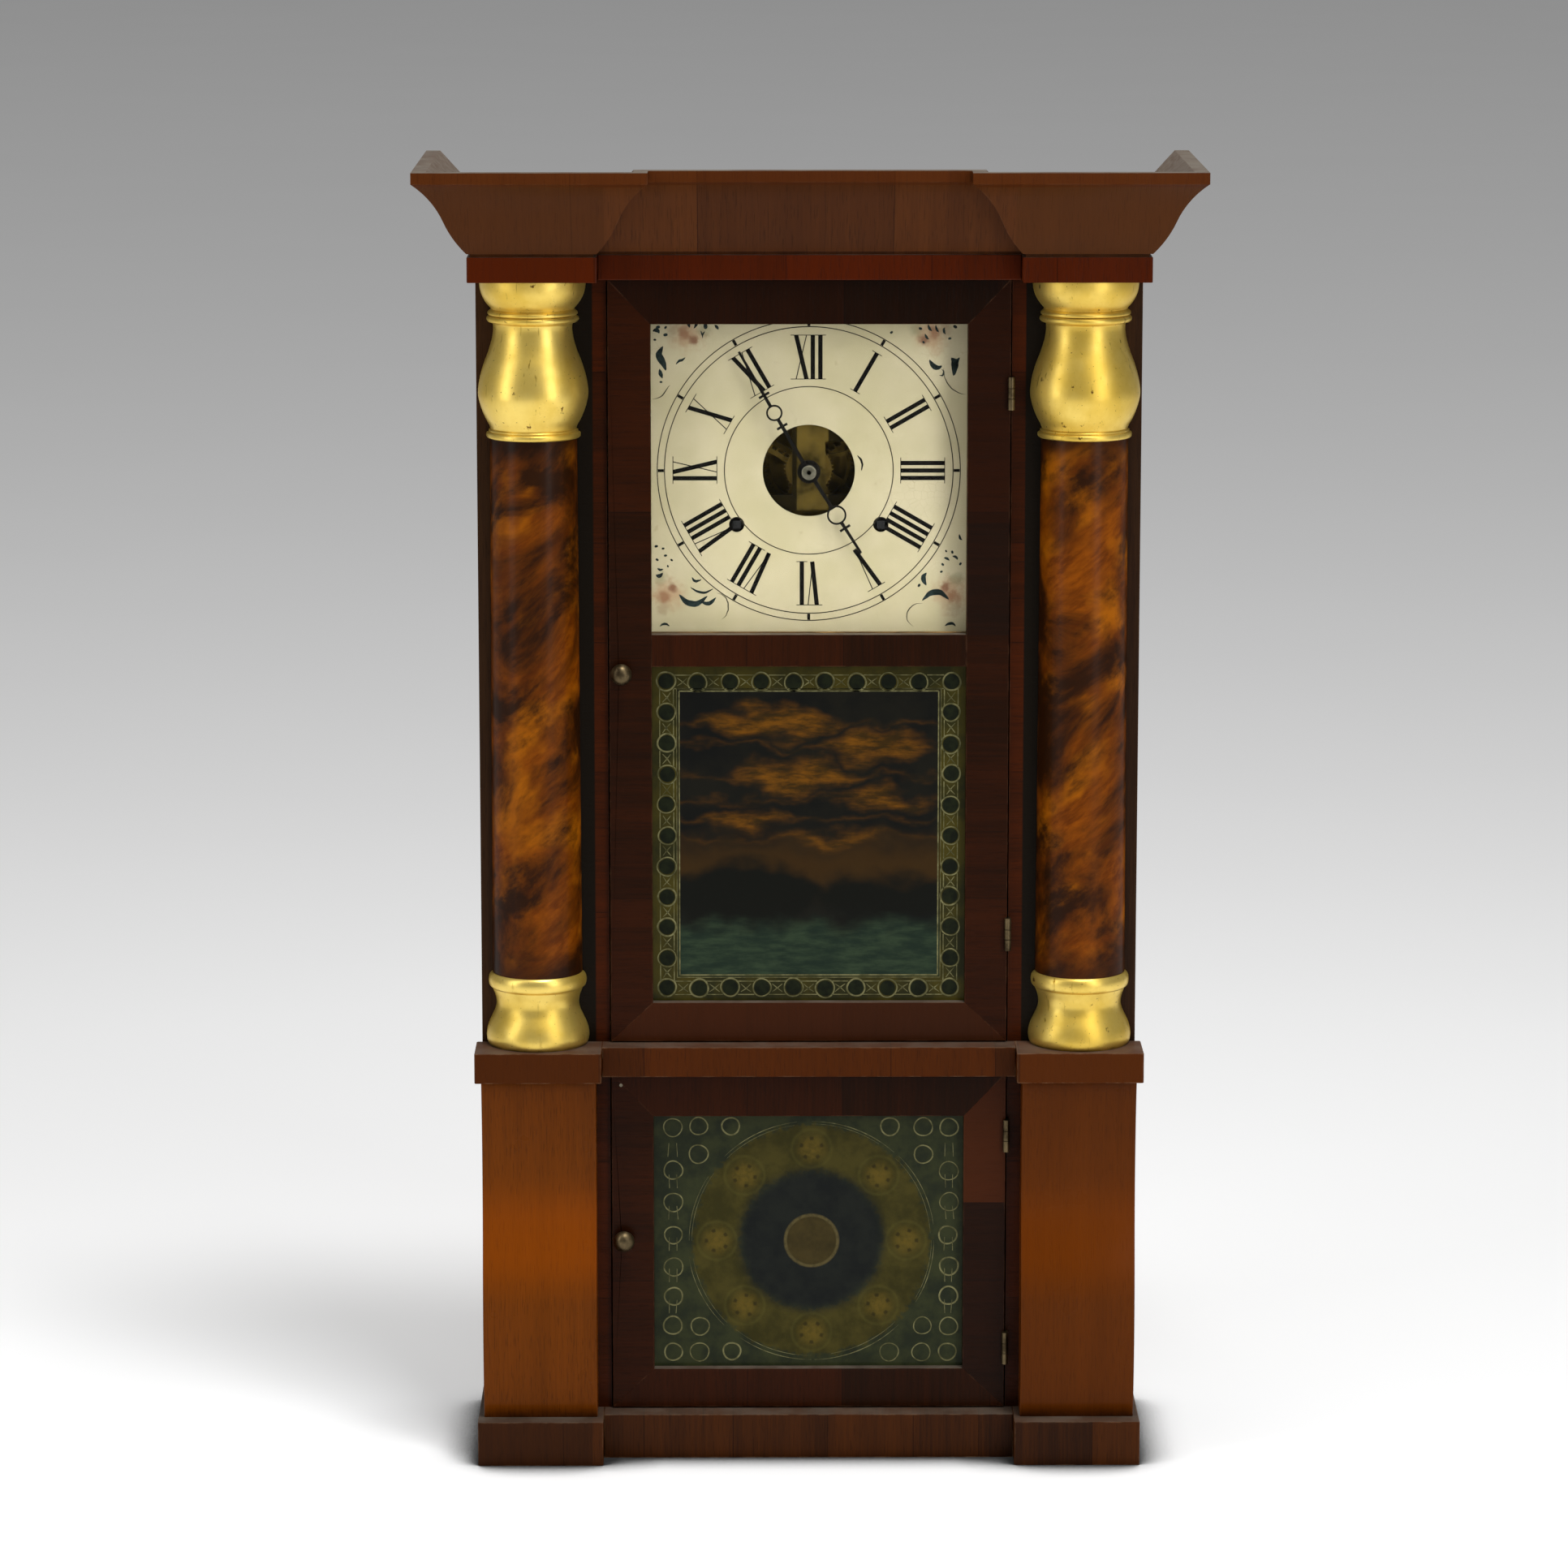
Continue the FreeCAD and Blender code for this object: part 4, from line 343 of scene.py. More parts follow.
GRAIN, given, result = new_group(
    "wood_grain", ("Across", "Along", "Tone", "Seed", "Light", "Dark", "Contrast"), ("Color", "Height"))
shift = given["Tone"].calc("MULTIPLY_ADD", LEAF_SHIFT, given["Seed"])
place = vector(given["Across"], given["Along"], shift)
ribbon = place.stretched(*RIBBON).noise(detail=4.0, rough=0.6, bend=0.25)
fibre = place.stretched(*FIBRE).noise(rough=0.6)
pore = place.stretched(*PORE).noise(detail=2.0).spread(0.56, 0.68)
figure = fibre.calc("MULTIPLY_ADD", FIBRE_SHARE, ribbon * RIBBON_SHARE)
centred = (figure - 0.5).calc("MULTIPLY_ADD", given["Contrast"], 0.5)
leafed = centred + given["Tone"].calc("MULTIPLY_ADD", LEAF_TONE, -LEAF_TONE / 2)
wood = leafed.spread(0.1, 0.9).blend(given["Dark"], given["Light"])
connect(result, {"Color": (pore * PORE_SHARE).blend(wood, "#120803"), "Height": fibre - pore})
print("grain net has", len(GRAIN.nodes), "nodes")

# %% [markdown]
# The banding is laid across each member in short leaves, butted end to end. A one-dimensional cell
# pattern gives leaves of uneven length, a random tone for each, and the fine dark line of each joint.

# %% Veneer leaves
JOINT_WIDTH = 0.0004

LEAVES, given, result = new_group("veneer_leaves", ("Run", "Length", "Seed"), ("Tone", "Joint"))
steps = given["Run"] / given["Length"] + given["Seed"]
cells = {"W": steps, "Scale": 1.0}
tint = steps.step("TexVoronoi", cells, "Color", voronoi_dimensions="1D")
edge = steps.step("TexVoronoi", cells, "Distance", voronoi_dimensions="1D", feature="DISTANCE_TO_EDGE")
gap = edge * given["Length"]
connect(result, {"Tone": tint.step("SeparateColor", {0: tint}),
                 "Joint": gap.spread(JOINT_WIDTH, 0.3 * JOINT_WIDTH)})
print("leaf net has", len(LEAVES.nodes), "nodes")

# %% [markdown]
# Handling rubs varnish, paint and gilding off the edges, and dust settles in the corners, where shade
# also falls: the corner mask darkens with grime and painted shade together. Rounding the surface normal
# over a small radius finds the edges; looking for nearby surfaces finds the corners.

# %% Wear, grime and painted shade
WEAR, given, result = new_group("edge_wear", ("Radius",), ("Mask",))
rounded = given["Radius"].step("Bevel", {"Radius": given["Radius"]}, samples=4)
turned = rounded.step("VectorMath", {0: rounded, 1: facing(WEAR)}, "Value", operation="DOT_PRODUCT")
patchy = point(WEAR).noise(70.0, 4.0, 0.7).spread(0.42, 0.62)
connect(result, {"Mask": turned.spread(0.985, 0.85) * patchy})

SHADE_AND_GRIME, given, result = new_group("shade_and_grime", ("Reach",), ("Mask",))
# ambient occlusion finds nearby surfaces; the mask darkens corners with grime and painted shade together
open_sky = given["Reach"].step("AmbientOcclusion", {"Distance": given["Reach"]}, "AO", samples=4)
cloud = point(SHADE_AND_GRIME).noise(45.0, 3.0, 0.6)
connect(result, {"Mask": open_sky.spread(0.75, 0.2) * cloud.spread(0.25, 0.65)})
print("wear and grime nets:", len(WEAR.nodes), len(SHADE_AND_GRIME.nodes), "nodes")

# %% [markdown]
# The case is pine covered with mahogany banding whose grain runs across each member: upright on rails
# and mouldings, level on stiles. The old varnish is dark and satin, with rubbed, lighter edges, and the
# corners are darkened with grime and painted shade. Some members have a stretch of another tone, which a
# table of upright boxes gives; the dark box along the upper door's top rail is painted shade under the
# cornice. On the pedestals a warm band at mid-height is a painted highlight.

# %% Veneers of the case
PATCH_DEPTH, SHADE_AND_GRIME_DEPTH, JOINT_DEPTH = 0.55, 0.7, 0.6
SHADE_AND_GRIME_REACH, WEAR_RADIUS = 0.012, 0.0011
JOINT_DARK, SHADE_AND_GRIME_DARK, JAMB_BLACK, DUST = "#0b0502", "#0d0703", "#130d06", "#82786b"
CASE_EASE = 0.7


def leafed_grain(tree, across, along, leaf, seed, light, dark, contrast):
    """The mask of the leaves' joints, the colour of the wood and its height."""
    leaves = use(tree, LEAVES, Run=across, Length=leaf, Seed=seed)
    wood = use(tree, GRAIN, Across=across, Along=along, Tone=leaves["Tone"], Seed=seed, Light=light,
               Dark=dark, Contrast=contrast)
    return leaves["Joint"], wood["Color"], wood["Height"]


def run_of_face(tree, x, y):
    """The level direction along a face: x on fronts and backs, y on the sides."""
    right, back = facing(tree).parts()[:2]
    return (y - x).calc("MULTIPLY_ADD", abs(right) > abs(back), x)


def inside_box(x, z, left, right, low, high):
    """A mask for an upright rectangle on the front."""
    return ((x > left) * (x < right)) * ((z > low) * (z < high))


def dust_on_top(tree, place):
    """A mask for faces that look up, where dust settles unevenly."""
    patchy = place.noise(40.0, 4.0, 0.6).spread(0.36, 0.66, 0.3, 0.55)
    return facing(tree).parts()[2].spread(0.75, 0.95) * patchy


def bare_inside(tree, x, place):
    """A mask and a colour for faces that look to the middle of the case, left as sawn and dusty."""
    inward = facing(tree).parts()[0] * x.calc("SIGN")
    streaks = place.stretched(300.0, 300.0, 60.0).noise(rough=0.6).spread(0.35, 0.65)
    return inward.spread(-0.5, -0.9), streaks.blend("#786a5b", "#9a9183")


def veneer(name, light, dark, banding, leaf, seed, contrast=1.3, worn="#6d4a33", wear=0.5, rough=0.36,
           painted=None, patches=(), glow=None, dust=1.0, bare=False):
    """A varnished veneer; banding "upright" has upright grain, "level" has grain across an upright."""
    material, tree, shader = new_material(name, coat_weight=0.03, coat_roughness=0.25,
                                          specular_ior_level=0.05)
    place, x, y, z = where(tree)
    level = run_of_face(tree, x, y)
    across, along = (level, z) if banding == "upright" else (z, level)
    joint, colour, height = leafed_grain(tree, across, along, leaf, seed, light, dark, contrast)
    colour = (joint * JOINT_DEPTH).blend(colour, JOINT_DARK)
    # painted highlight: a warm, brighter band at one height, as on a curved face catching the light
    if glow:
        painted_sheen, middle, half, share = glow
        colour = abs(z - middle).spread(half, 0.2 * half, 0.0, share).blend(colour, painted_sheen)
    for *box, code in patches:
        colour = (inside_box(x, z, *box) * PATCH_DEPTH).blend(colour, code)
    if painted:
        colour = abs(x).spread(*painted).blend(colour, JAMB_BLACK)
    # corners and recesses darkened with grime and painted shade, where ambient occlusion finds them
    shade_and_grime = use(tree, SHADE_AND_GRIME, Reach=SHADE_AND_GRIME_REACH)["Mask"]
    colour = (shade_and_grime * SHADE_AND_GRIME_DEPTH).blend(colour, SHADE_AND_GRIME_DARK)
    rubbed = use(tree, WEAR, Radius=WEAR_RADIUS)["Mask"]
    colour = (rubbed * wear).blend(colour, worn)
    colour = (dust_on_top(tree, place) * dust).blend(colour, DUST)
    if bare:
        inside, sawn = bare_inside(tree, x, place)
        colour = inside.blend(colour, sawn)
    dull = place.noise(26.0, 4.0).spread(0.3, 0.7, rough - 0.03, rough + 0.06)
    connect(shader, {"Base Color": colour, "Roughness": dull})
    bump(shader, height, 0.25, 0.00025)
    return material


STILE_PATCHES = ((0.1, 0.13, 0.539, 0.611, "#150c07"), (0.1, 0.13, 0.03, 0.167, "#150c07"),
                 (0.1, 0.13, 0.167, 0.26, "#4f2610"), (0.1, 0.13, 0.611, 0.77, "#1e0c04"))
# the first rail box darkens the upper door's top rail as painted shade under the cornice; the second is a
# tone
RAIL_TONES_AND_SHADE = ((-0.13, 0.13, 0.735, 0.77, "#100803"), (-0.13, 0.13, 0.27, 0.3, "#43200c"))
FRIEZE_PATCHES = ((-0.25, -0.135, 0.76, 0.79, "#5c1f02"),)
WAIST_PATCHES = ((-0.25, -0.135, 0.25, 0.28, "#4e2303"), (0.135, 0.25, 0.25, 0.28, "#5a2903"))
PLINTH_PATCHES = ((-0.22, -0.14, 0.0, 0.03, "#281408"),)
PEDESTAL_PATCHES = ((0.13, 0.22, 0.0, 0.26, "#4d2203"),)
CORNICE_PATCHES = ((-0.25, 0.25, 0.829, 0.84, "#4c2004"), (-0.25, -0.128, 0.783, 0.829, "#4a270d"),
                   (0.128, 0.25, 0.783, 0.829, "#4f2b0f"))
RAILS, STILES = ("upper_door_rails", "lower_door_rails"), ("upper_door_stiles", "lower_door_stiles")
give(veneer("door_rails", "#351504", "#1e0c02", "upright", 0.11, 3.7, patches=RAIL_TONES_AND_SHADE), *RAILS)
give(veneer("door_stiles", "#351504", "#1c0b02", "level", 0.13, 8.2, patches=STILE_PATCHES), *STILES)
give(veneer("jambs", "#471b03", "#270f02", "level", 0.09, 5.1, painted=(0.1365, 0.1375)), "front_stiles")
give(veneer("sides", "#422a16", "#26160c", "upright", 0.4, 1.3, 1.1), "case_sides")
give(veneer("frieze", "#541b02", "#3c1402", "upright", 0.09, 6.4, 1.0, wear=0.25, patches=FRIEZE_PATCHES),
     "frieze")
give(veneer("waist", "#4f2303", "#391903", "upright", 0.12, 2.9, 1.0, worn="#906f52", wear=0.8,
            patches=WAIST_PATCHES, dust=0.65), "waist")
give(veneer("plinth", "#4e270a", "#231209", "upright", 0.06, 9.9, 1.1, worn="#906f52", wear=0.7,
            patches=PLINTH_PATCHES, dust=0.65), "plinth")
for name, bare, members in (("cornice", False, ("cornice_centre", "cornice_ends")),
                            ("cornice_return", True, ("cornice_sides",))):
    give(veneer(name, "#5e3314", "#47250f", "upright", 0.14, 4.4, 1.0, worn="#6f4a34", wear=0.35,
                patches=CORNICE_PATCHES, dust=1.7, bare=bare), *members)
# the glow tuple paints a highlight band across the pedestals at mid-height
give(veneer("pedestals", "#753a06", "#562903", "upright", 0.6, 7.7, 1.1, wear=0.3, rough=0.3,
            glow=("#a04a02", 0.147, 0.046, 0.36), patches=PEDESTAL_PATCHES), "pedestals")
soften(CASE_EASE, *RAILS, *STILES, "frieze", "waist", "plinth", "case_sides", "pedestals")
print("veneers:", len(bpy.data.materials) - 1)

# %% [markdown]
# Inside, and behind, the boards are bare pine, browned by a century and a half. Saw and plane left
# it plain, so it gets the same grain net in paler colours and no varnish.

# %% Pine
PINE_LIGHT, PINE_DARK, PINE_SHADE_AND_GRIME = "#a9834f", "#6f4c27", "#2b1c10"
BOARD_WIDTH = 0.16


def pine_boards(name, banding, seed):
    """Bare boards."""
    material, tree, shader = new_material(name, specular_ior_level=0.25)
    place, x, y, z = where(tree)
    across, along = (x + y, z) if banding == "upright" else (y + z, x)
    wood, height = leafed_grain(tree, across, along, BOARD_WIDTH, seed, PINE_LIGHT, PINE_DARK, 1.8)[1:]
    # hollows between boards darkened with grime and painted shade
    colour = use(tree, SHADE_AND_GRIME, Reach=0.03)["Mask"].blend(wood, PINE_SHADE_AND_GRIME)
    connect(shader, {"Base Color": colour, "Roughness": place.noise(30.0).spread(0.3, 0.7, 0.55, 0.8)})
    bump(shader, height, 0.4, 0.0003)
    return material


give(pine_boards("pine_upright", "upright", 2.2), "backboard", "inner_walls", "upper_glazing_beads",
     "lower_glazing_beads")
give(pine_boards("pine_level", "level", 5.6), "bottom_board", "top_board")
print("pine on six nodes")

# %% [markdown]
# Column feet and capitals are half-round turnings: the capital a pear-shaped vase under two rings and a
# bowl, the foot a swelling base under a lip. A turner works from an outline, radius by height. Here the
# outline is eased between its sharp steps and swept through half a turn, flat against the case.

# %% Gilded turnings
COLUMN_AXIS = 174.5
TURN_STEPS = 48
EASE_STEPS = 5
SHARP_ANGLE = math.radians(50)
CAPITAL_RUNS = (
    ((28.9, 0.0), (29.7, 0.7), (29.9, 1.9), (29.7, 3.1), (28.8, 3.9)),
    ((28.2, 4.2), (28.4, 4.8), (28.0, 5.4)),
    ((27.2, 5.8), (28.2, 8.4), (30.6, 12.8), (32.9, 18.6), (34.5, 24.6), (34.9, 28.8), (34.5, 33.6),
     (33.2, 40.2), (30.9, 47.6), (28.0, 55.2), (25.9, 62.4), (25.0, 68.4), (25.2, 72.2)),
    ((25.9, 72.9), (27.9, 73.4), (29.0, 74.5), (29.2, 75.8), (28.5, 77.0)),
    ((27.5, 77.5), (28.3, 78.2), (28.5, 79.1), (28.1, 80.0), (27.2, 80.9)),
    ((26.4, 81.6), (26.9, 82.5), (28.9, 84.8), (30.9, 87.8), (32.5, 91.4), (33.4, 95.4), (33.8, 101.0)))
FOOT_RUNS = (
    ((31.6, 0.0), (32.5, 1.6), (33.0, 4.4), (33.0, 7.0), (32.4, 10.6), (31.1, 14.4), (29.3, 18.2),
     (27.6, 21.8), (26.7, 25.2), (26.6, 28.0), (27.2, 31.4), (28.4, 34.8), (29.2, 36.8)),
    ((29.8, 37.3), (30.9, 38.4), (31.5, 40.6), (31.4, 43.4), (30.6, 45.6), (29.4, 47.0)))


def smooth(points, steps):
    """Points on a smooth line through three or more given ones."""
    line = []
    last = len(points) - 1
    for i in range(steps + 1):
        share = i / steps * last
        k = min(int(share), last - 1)
        t = share - k
        before, start, end, after = (points[max(0, min(last, k + n))] for n in (-1, 0, 1, 2))
        line.append(tuple(0.5 * (2 * b + (c - a) * t + (2 * a - 5 * b + 4 * c - d) * t * t
                                 + (3 * b - 3 * c + d - a) * t ** 3)
                          for a, b, c, d in zip(before, start, end, after)))
    return line


def shade_round(mesh):
    """Smooth shading that keeps sharp edges."""
    mesh.shade_smooth()
    mesh.set_sharp_from_angle(angle=SHARP_ANGLE)


def link_piece(name, mesh, material, body):
    """A new piece that rides on a body."""
    mesh.materials.append(material)
    piece = bpy.data.objects.new(name, mesh)
    bpy.context.scene.collection.objects.link(piece)
    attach(piece, body)
    return piece


def half_turning(points, faces, axis, back, foot, outline):
    """Adds a half-round turning, closed above, below and behind; sizes in millimetres."""
    first, count = len(points), len(outline)
    for step in range(TURN_STEPS + 1):
        turn = math.pi * step / TURN_STEPS
        points += [(axis + r * math.cos(turn), back - r * math.sin(turn), foot + h) for r, h in outline]
    rows = [[first + step * count + level for level in range(count)] for step in range(TURN_STEPS + 1)]
    for row, after in zip(rows, rows[1:]):
        for i in range(count - 1):
            faces.append((row[i], after[i], after[i + 1], row[i + 1]))
    for level in (0, -1):
        faces.append([row[level] for row in rows])
    faces.append(rows[0] + rows[-1][::-1])


def turned_pair(name, node, runs, material):
    """Right and left turnings in the place of a solid-model node."""
    low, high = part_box(node)
    outline = [gauge for run in runs for gauge in smooth(run, EASE_STEPS * (len(run) - 1))]
    points, faces = [], []
    for side in (-1, 1):
        half_turning(points, faces, side * COLUMN_AXIS, high.y / MM, low.z / MM, outline)
    mesh = bpy.data.meshes.new(name)
    mesh.from_pydata([tuple(MM * v for v in corner) for corner in points], [], faces)
    shape = bmesh.new()
    shape.from_mesh(mesh)
    bmesh.ops.recalc_face_normals(shape, faces=shape.faces)
    shape.to_mesh(mesh)
    shape.free()
    shade_round(mesh)
    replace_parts(link_piece(name, mesh, material, "case"), node)


print("capital outline has", sum(len(run) for run in CAPITAL_RUNS), "gauge points")

# %% [markdown]
# The turnings are covered with gold leaf. Leaf is laid over a warm clay ground, so where it is rubbed or
# pitted a brown shows through, and the hollows between the rings are darkened with dust and painted shade.

# %% Gold leaf
def gilding():
    """Worn gold leaf."""
    material, tree, shader = new_material("gold_leaf", metallic=0.82, specular_ior_level=0.3)
    place = point(tree)
    tone = place.noise(24.0, 5.0, 0.6).spread(0.3, 0.7)
    leaf = tone.blend("#dcb84c", "#f4d673")
    pits = place.noise(620.0, 2.0, 0.7).spread(0.68, 0.76)
    spots = place.noise(150.0, 3.0, 0.7).spread(0.66, 0.74)
    leaf = pits.calc("MAXIMUM", spots).blend(leaf, "#6b4a17")
    scratches = place.stretched(240.0, 240.0, 16.0).noise(rough=0.7)
    leaf = scratches.spread(0.62, 0.75).blend(leaf, "#a2802a")
    # painted shade and dust: the hollows between the rings are darkened
    hollow = use(tree, SHADE_AND_GRIME, Reach=0.006)["Mask"]
    leaf = (hollow * 0.85).blend(leaf, "#5a3f10")
    connect(shader, {"Base Color": leaf, "Roughness": tone.spread(0.0, 1.0, 0.42, 0.34)})
    bump(shader, scratches - pits, 0.2, 0.0003)
    return material


gold_leaf = gilding()
turned_pair("gilt_feet", "column_feet", FOOT_RUNS, gold_leaf)
turned_pair("gilt_capitals", "column_capitals", CAPITAL_RUNS, gold_leaf)

# %% [markdown]
# The shafts are grained in imitation of tortoiseshell: a translucent amber coat with dark brown smears
# dragged upward and to the right with a brush, and darker ends where the brush turned.

# %% Tortoiseshell shafts
SMEAR_SLOPE = math.radians(38)
DARK_END = 0.02


def tortoiseshell():
    """Amber graining with dark smears."""
    material, tree, shader = new_material("tortoiseshell", coat_weight=0.06, coat_roughness=0.2,
                                          roughness=0.42, specular_ior_level=0.06)
    place, x, y, z = where(tree)
    rise, run = math.sin(SMEAR_SLOPE), math.cos(SMEAR_SLOPE)
    smears = vector(z * run - x * rise, x * run + z * rise, y)
    broad = smears.stretched(26.0, 13.0, 20.0).noise(detail=6.0, rough=0.62, bend=0.5)
    fine = smears.stretched(190.0, 42.0, 120.0).noise(detail=4.0, rough=0.65)
    gold = smears.stretched(40.0, 26.0, 30.0).noise().spread(0.5, 0.7)
    amber = fine.spread(0.3, 0.7).blend("#5c2901", "#8d4804")
    amber = gold.blend(amber, "#a25a05")
    streaked = (fine - 0.5).calc("MULTIPLY_ADD", 0.3, broad)
    colour = (streaked.spread(0.36, 0.64) * 0.97).blend(amber, "#210e02")
    low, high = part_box("column_shafts")
    from_end = (z - low.z).calc("MINIMUM", high.z - z)
    colour = from_end.spread(DARK_END, 0.0, 0.0, 0.75).blend(colour, "#1e0e04")
    connect(shader, {"Base Color": colour})
    bump(shader, fine, 0.12, 0.0003)
    return material


give(tortoiseshell(), "column_shafts")

# %% [markdown]
# Knobs, hinges, plates and wheels are brass that has lost its polish: yellow where fingers touch it,
# brown in the recesses. Arbors and levers are steel, the hands are blued, the weights are cast iron. The
# front plate is painted almost black outside its middle strap, as painted shade, so only the strap shows
# bright through the dial's hole.

# %% Metals
STRAP_MIDDLE, STRAP_HALF, STRAP_EDGE = 0.0025, 0.0093, 0.0015


def metal(name, light, dark, rough, brushed, tarnish, tarnish_share, metallic=0.9, strap=False):
    """An aged metal with uneven polish; with a strap, painted shade darkens the plate outside the strap's
    width.
    """
    material, tree, shader = new_material(name, metallic=metallic, specular_ior_level=0.15)
    place, x, y, z = where(tree)
    tone = place.noise(55.0, 5.0, 0.6).spread(0.3, 0.7)
    grainy = place.stretched(brushed, brushed, 30.0).noise(rough=0.6)
    hollow = use(tree, SHADE_AND_GRIME, Reach=0.008)["Mask"]
    stain = (tone.spread(0.45, 0.1) * tarnish_share).calc("MAXIMUM", hollow)
    colour = stain.blend(tone.blend(dark, light), tarnish)
    if strap:
        # painted shade: the plate outside the strap is made almost black
        shade_beyond_strap = abs(x - STRAP_MIDDLE).spread(STRAP_HALF, STRAP_HALF + STRAP_EDGE, 0.0, 0.9)
        colour = shade_beyond_strap.blend(colour, "#0d0b07")
    dull = grainy.spread(0.3, 0.7, rough - 0.08, rough + 0.14)
    connect(shader, {"Base Color": colour, "Roughness": dull})
    bump(shader, grainy, 0.15, 0.0002)
    return material


give(metal("aged_brass", "#6e5f44", "#453b2a", 0.34, 300.0, "#2d2215", 0.5), "upper_case_hinge_leaves",
     "lower_case_hinge_leaves", "upper_door_hinge_leaves", "lower_door_hinge_leaves", "upper_knob",
     "lower_knob")
give(metal("strap_brass", "#7e6930", "#584a24", 0.4, 500.0, "#241c0c", 0.6, strap=True), "front_plate")
give(metal("clock_brass", "#7d6630", "#53431c", 0.38, 500.0, "#2a1f0c", 0.5), "back_plate",
     "time_great_wheel", "strike_great_wheel", "centre_wheel", "third_wheel", "escape_wheel",
     "strike_pin_wheel", "minute_wheel", "hour_wheel", "cannon_pinion", "strike_fly", "pendulum_bob",
     "pulley_left", "pulley_right")
give(metal("steel", "#8b8b8d", "#55555a", 0.36, 400.0, "#2c2320", 0.5), "verge", "pendulum_rod",
     "strike_hammer", "gong", "pulley_yokes")
give(metal("dark_steel", "#38383a", "#1b1b1d", 0.45, 400.0, "#16110e", 0.5, 0.7), "strike_drum",
     "time_drum")
give(metal("blued_steel", "#191612", "#0c0a08", 0.5, 500.0, "#080606", 0.3, 0.3), "minute_hand",
     "hour_hand")
give(metal("iron", "#4d4a46", "#2b2926", 0.62, 160.0, "#3a2216", 0.6, 0.7), "gong_stand", "weight_left",
     "weight_right")
print("metals are on")

# %% [markdown]
# The dial pane is old window glass. It refracts a little, so the shader keeps real transmission; for
# shadow rays it turns clear, or the dial behind it would stand in the pane's own shade.

# %% Dial pane
def clear_glass():
    """Old window glass."""
    material, tree, shader = new_material("window_glass", transmission_weight=1.0, ior=1.12,
                                          specular_ior_level=0.03)
    place = point(tree)
    film = place.noise(60.0, 4.0)
    connect(shader, {"Base Color": film.blend("#fcfcfa", "#f2f3ee"),
                     "Roughness": film.spread(0.35, 0.75, 0.0, 0.012)})
    bump(shader, place.noise(16.0, 2.0), 0.05, 0.001)
    clear = values(add(tree, "BsdfTransparent", {"Color": "#f4f5f1"}))["BSDF"]
    shadow = values(add(tree, "LightPath"))["Is Shadow Ray"]
    both = shadow.step("MixShader", {0: shadow, 1: values(shader)["BSDF"], 2: clear})
    connect(tree.nodes["Material Output"], {"Surface": both})
    return material


give(clear_glass(), "dial_glass")

# %% [markdown]
# The dial is sheet metal painted cream. The paint has yellowed unevenly and carries a fine craze and a
# few brown stains, so clouds of two creams come first and the cracks and stains on top. The roses in the
# corners are thin washes with no hard edge, so they belong to this net and not to the flat shapes below.

# %% Dial paint
DIAL_CENTRE = 641.7
SIGHT_SIDE, SIGHT_TOP, SIGHT_FOOT = 100.3, 737.7, 539.5
CRACKS = 210.0
ROSE_WASHES = ((23, 10, 15, 0.7, "#bb9370"), (14, 7, 7, 0.5, "#a58f72"), (21, 8, 5.5, 0.8, "#9c6a48"),
               (27, 13, 4.5, 0.85, "#865538"), (33, 6, 6, 0.5, "#92906c"))
dial_low, dial_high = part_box("dial")


def either(share, first, second):
    """One number or another, by a share from 0 to 1."""
    return (second - first).calc("MULTIPLY_ADD", share, first)


def rose_wash(x, z, cream, cloud):
    """Soft brown-pink roses with two darker hearts, one in each corner of the dial."""
    upper = z > DIAL_CENTRE * MM
    side = SIGHT_SIDE * MM - abs(x)
    top = SIGHT_TOP * MM - z
    foot = z - SIGHT_FOOT * MM
    run = either(upper, foot, side)
    rise = either(upper, side, top)
    for run_at, rise_at, reach, share, code in ROSE_WASHES:
        away = distance(run - run_at * MM, rise - rise_at * MM)
        loose = (cloud - 0.5).calc("MULTIPLY_ADD", 1.4 * reach * MM, away)
        cream = loose.spread(reach * MM, 0.2 * reach * MM, 0.0, share).blend(cream, code)
    return cream


def dial_paint():
    """Aged cream paint."""
    material, tree, shader = new_material("dial_paint", roughness=0.45)
    place, x, y, z = where(tree)
    cloud = place.noise(20.0, 5.0, 0.6)
    cream = cloud.spread(0.3, 0.7).blend("#c8bd98", "#d5c9a9")
    cells = {"Vector": place, "Scale": CRACKS}
    crack = place.step("TexVoronoi", cells, "Distance", feature="DISTANCE_TO_EDGE").spread(0.03, 0.0)
    craze = crack * cloud.spread(0.5, 0.7)
    cream = (craze * 0.35).blend(cream, "#8a7a52")
    stains = place.noise(75.0, 4.0, 0.7).spread(0.64, 0.76)
    cream = (stains * 0.3).blend(cream, "#9b8457")
    connect(shader, {"Base Color": rose_wash(x, z, cream, place.noise(170.0, 3.0, 0.6))})
    bump(shader, craze, 0.1, 0.0002)
    return material


give(dial_paint(), "dial")
print("dial", round(dial_low.z, 4), "to", round(dial_high.z, 4))

# %% [markdown]
# Painted lines, numerals and flowers are thin flat shapes laid on what carries them. The helpers below
# make rings, strokes that swell and taper, and discs, all as outlines in the upright plane; a little
# thickness makes each a closed layer of paint.

# %% Flat paint
LAYER = 0.05
LAYER_THICK = 0.8 * LAYER
RING_POINTS = 40
FINEST_LINE = 0.12


def thicken(piece, size):
    """Gives a flat piece a thickness in millimetres, half of it to each side."""
    solid = piece.modifiers.new("thickness", "SOLIDIFY")
    solid.thickness = size * MM
    solid.offset = 0.0


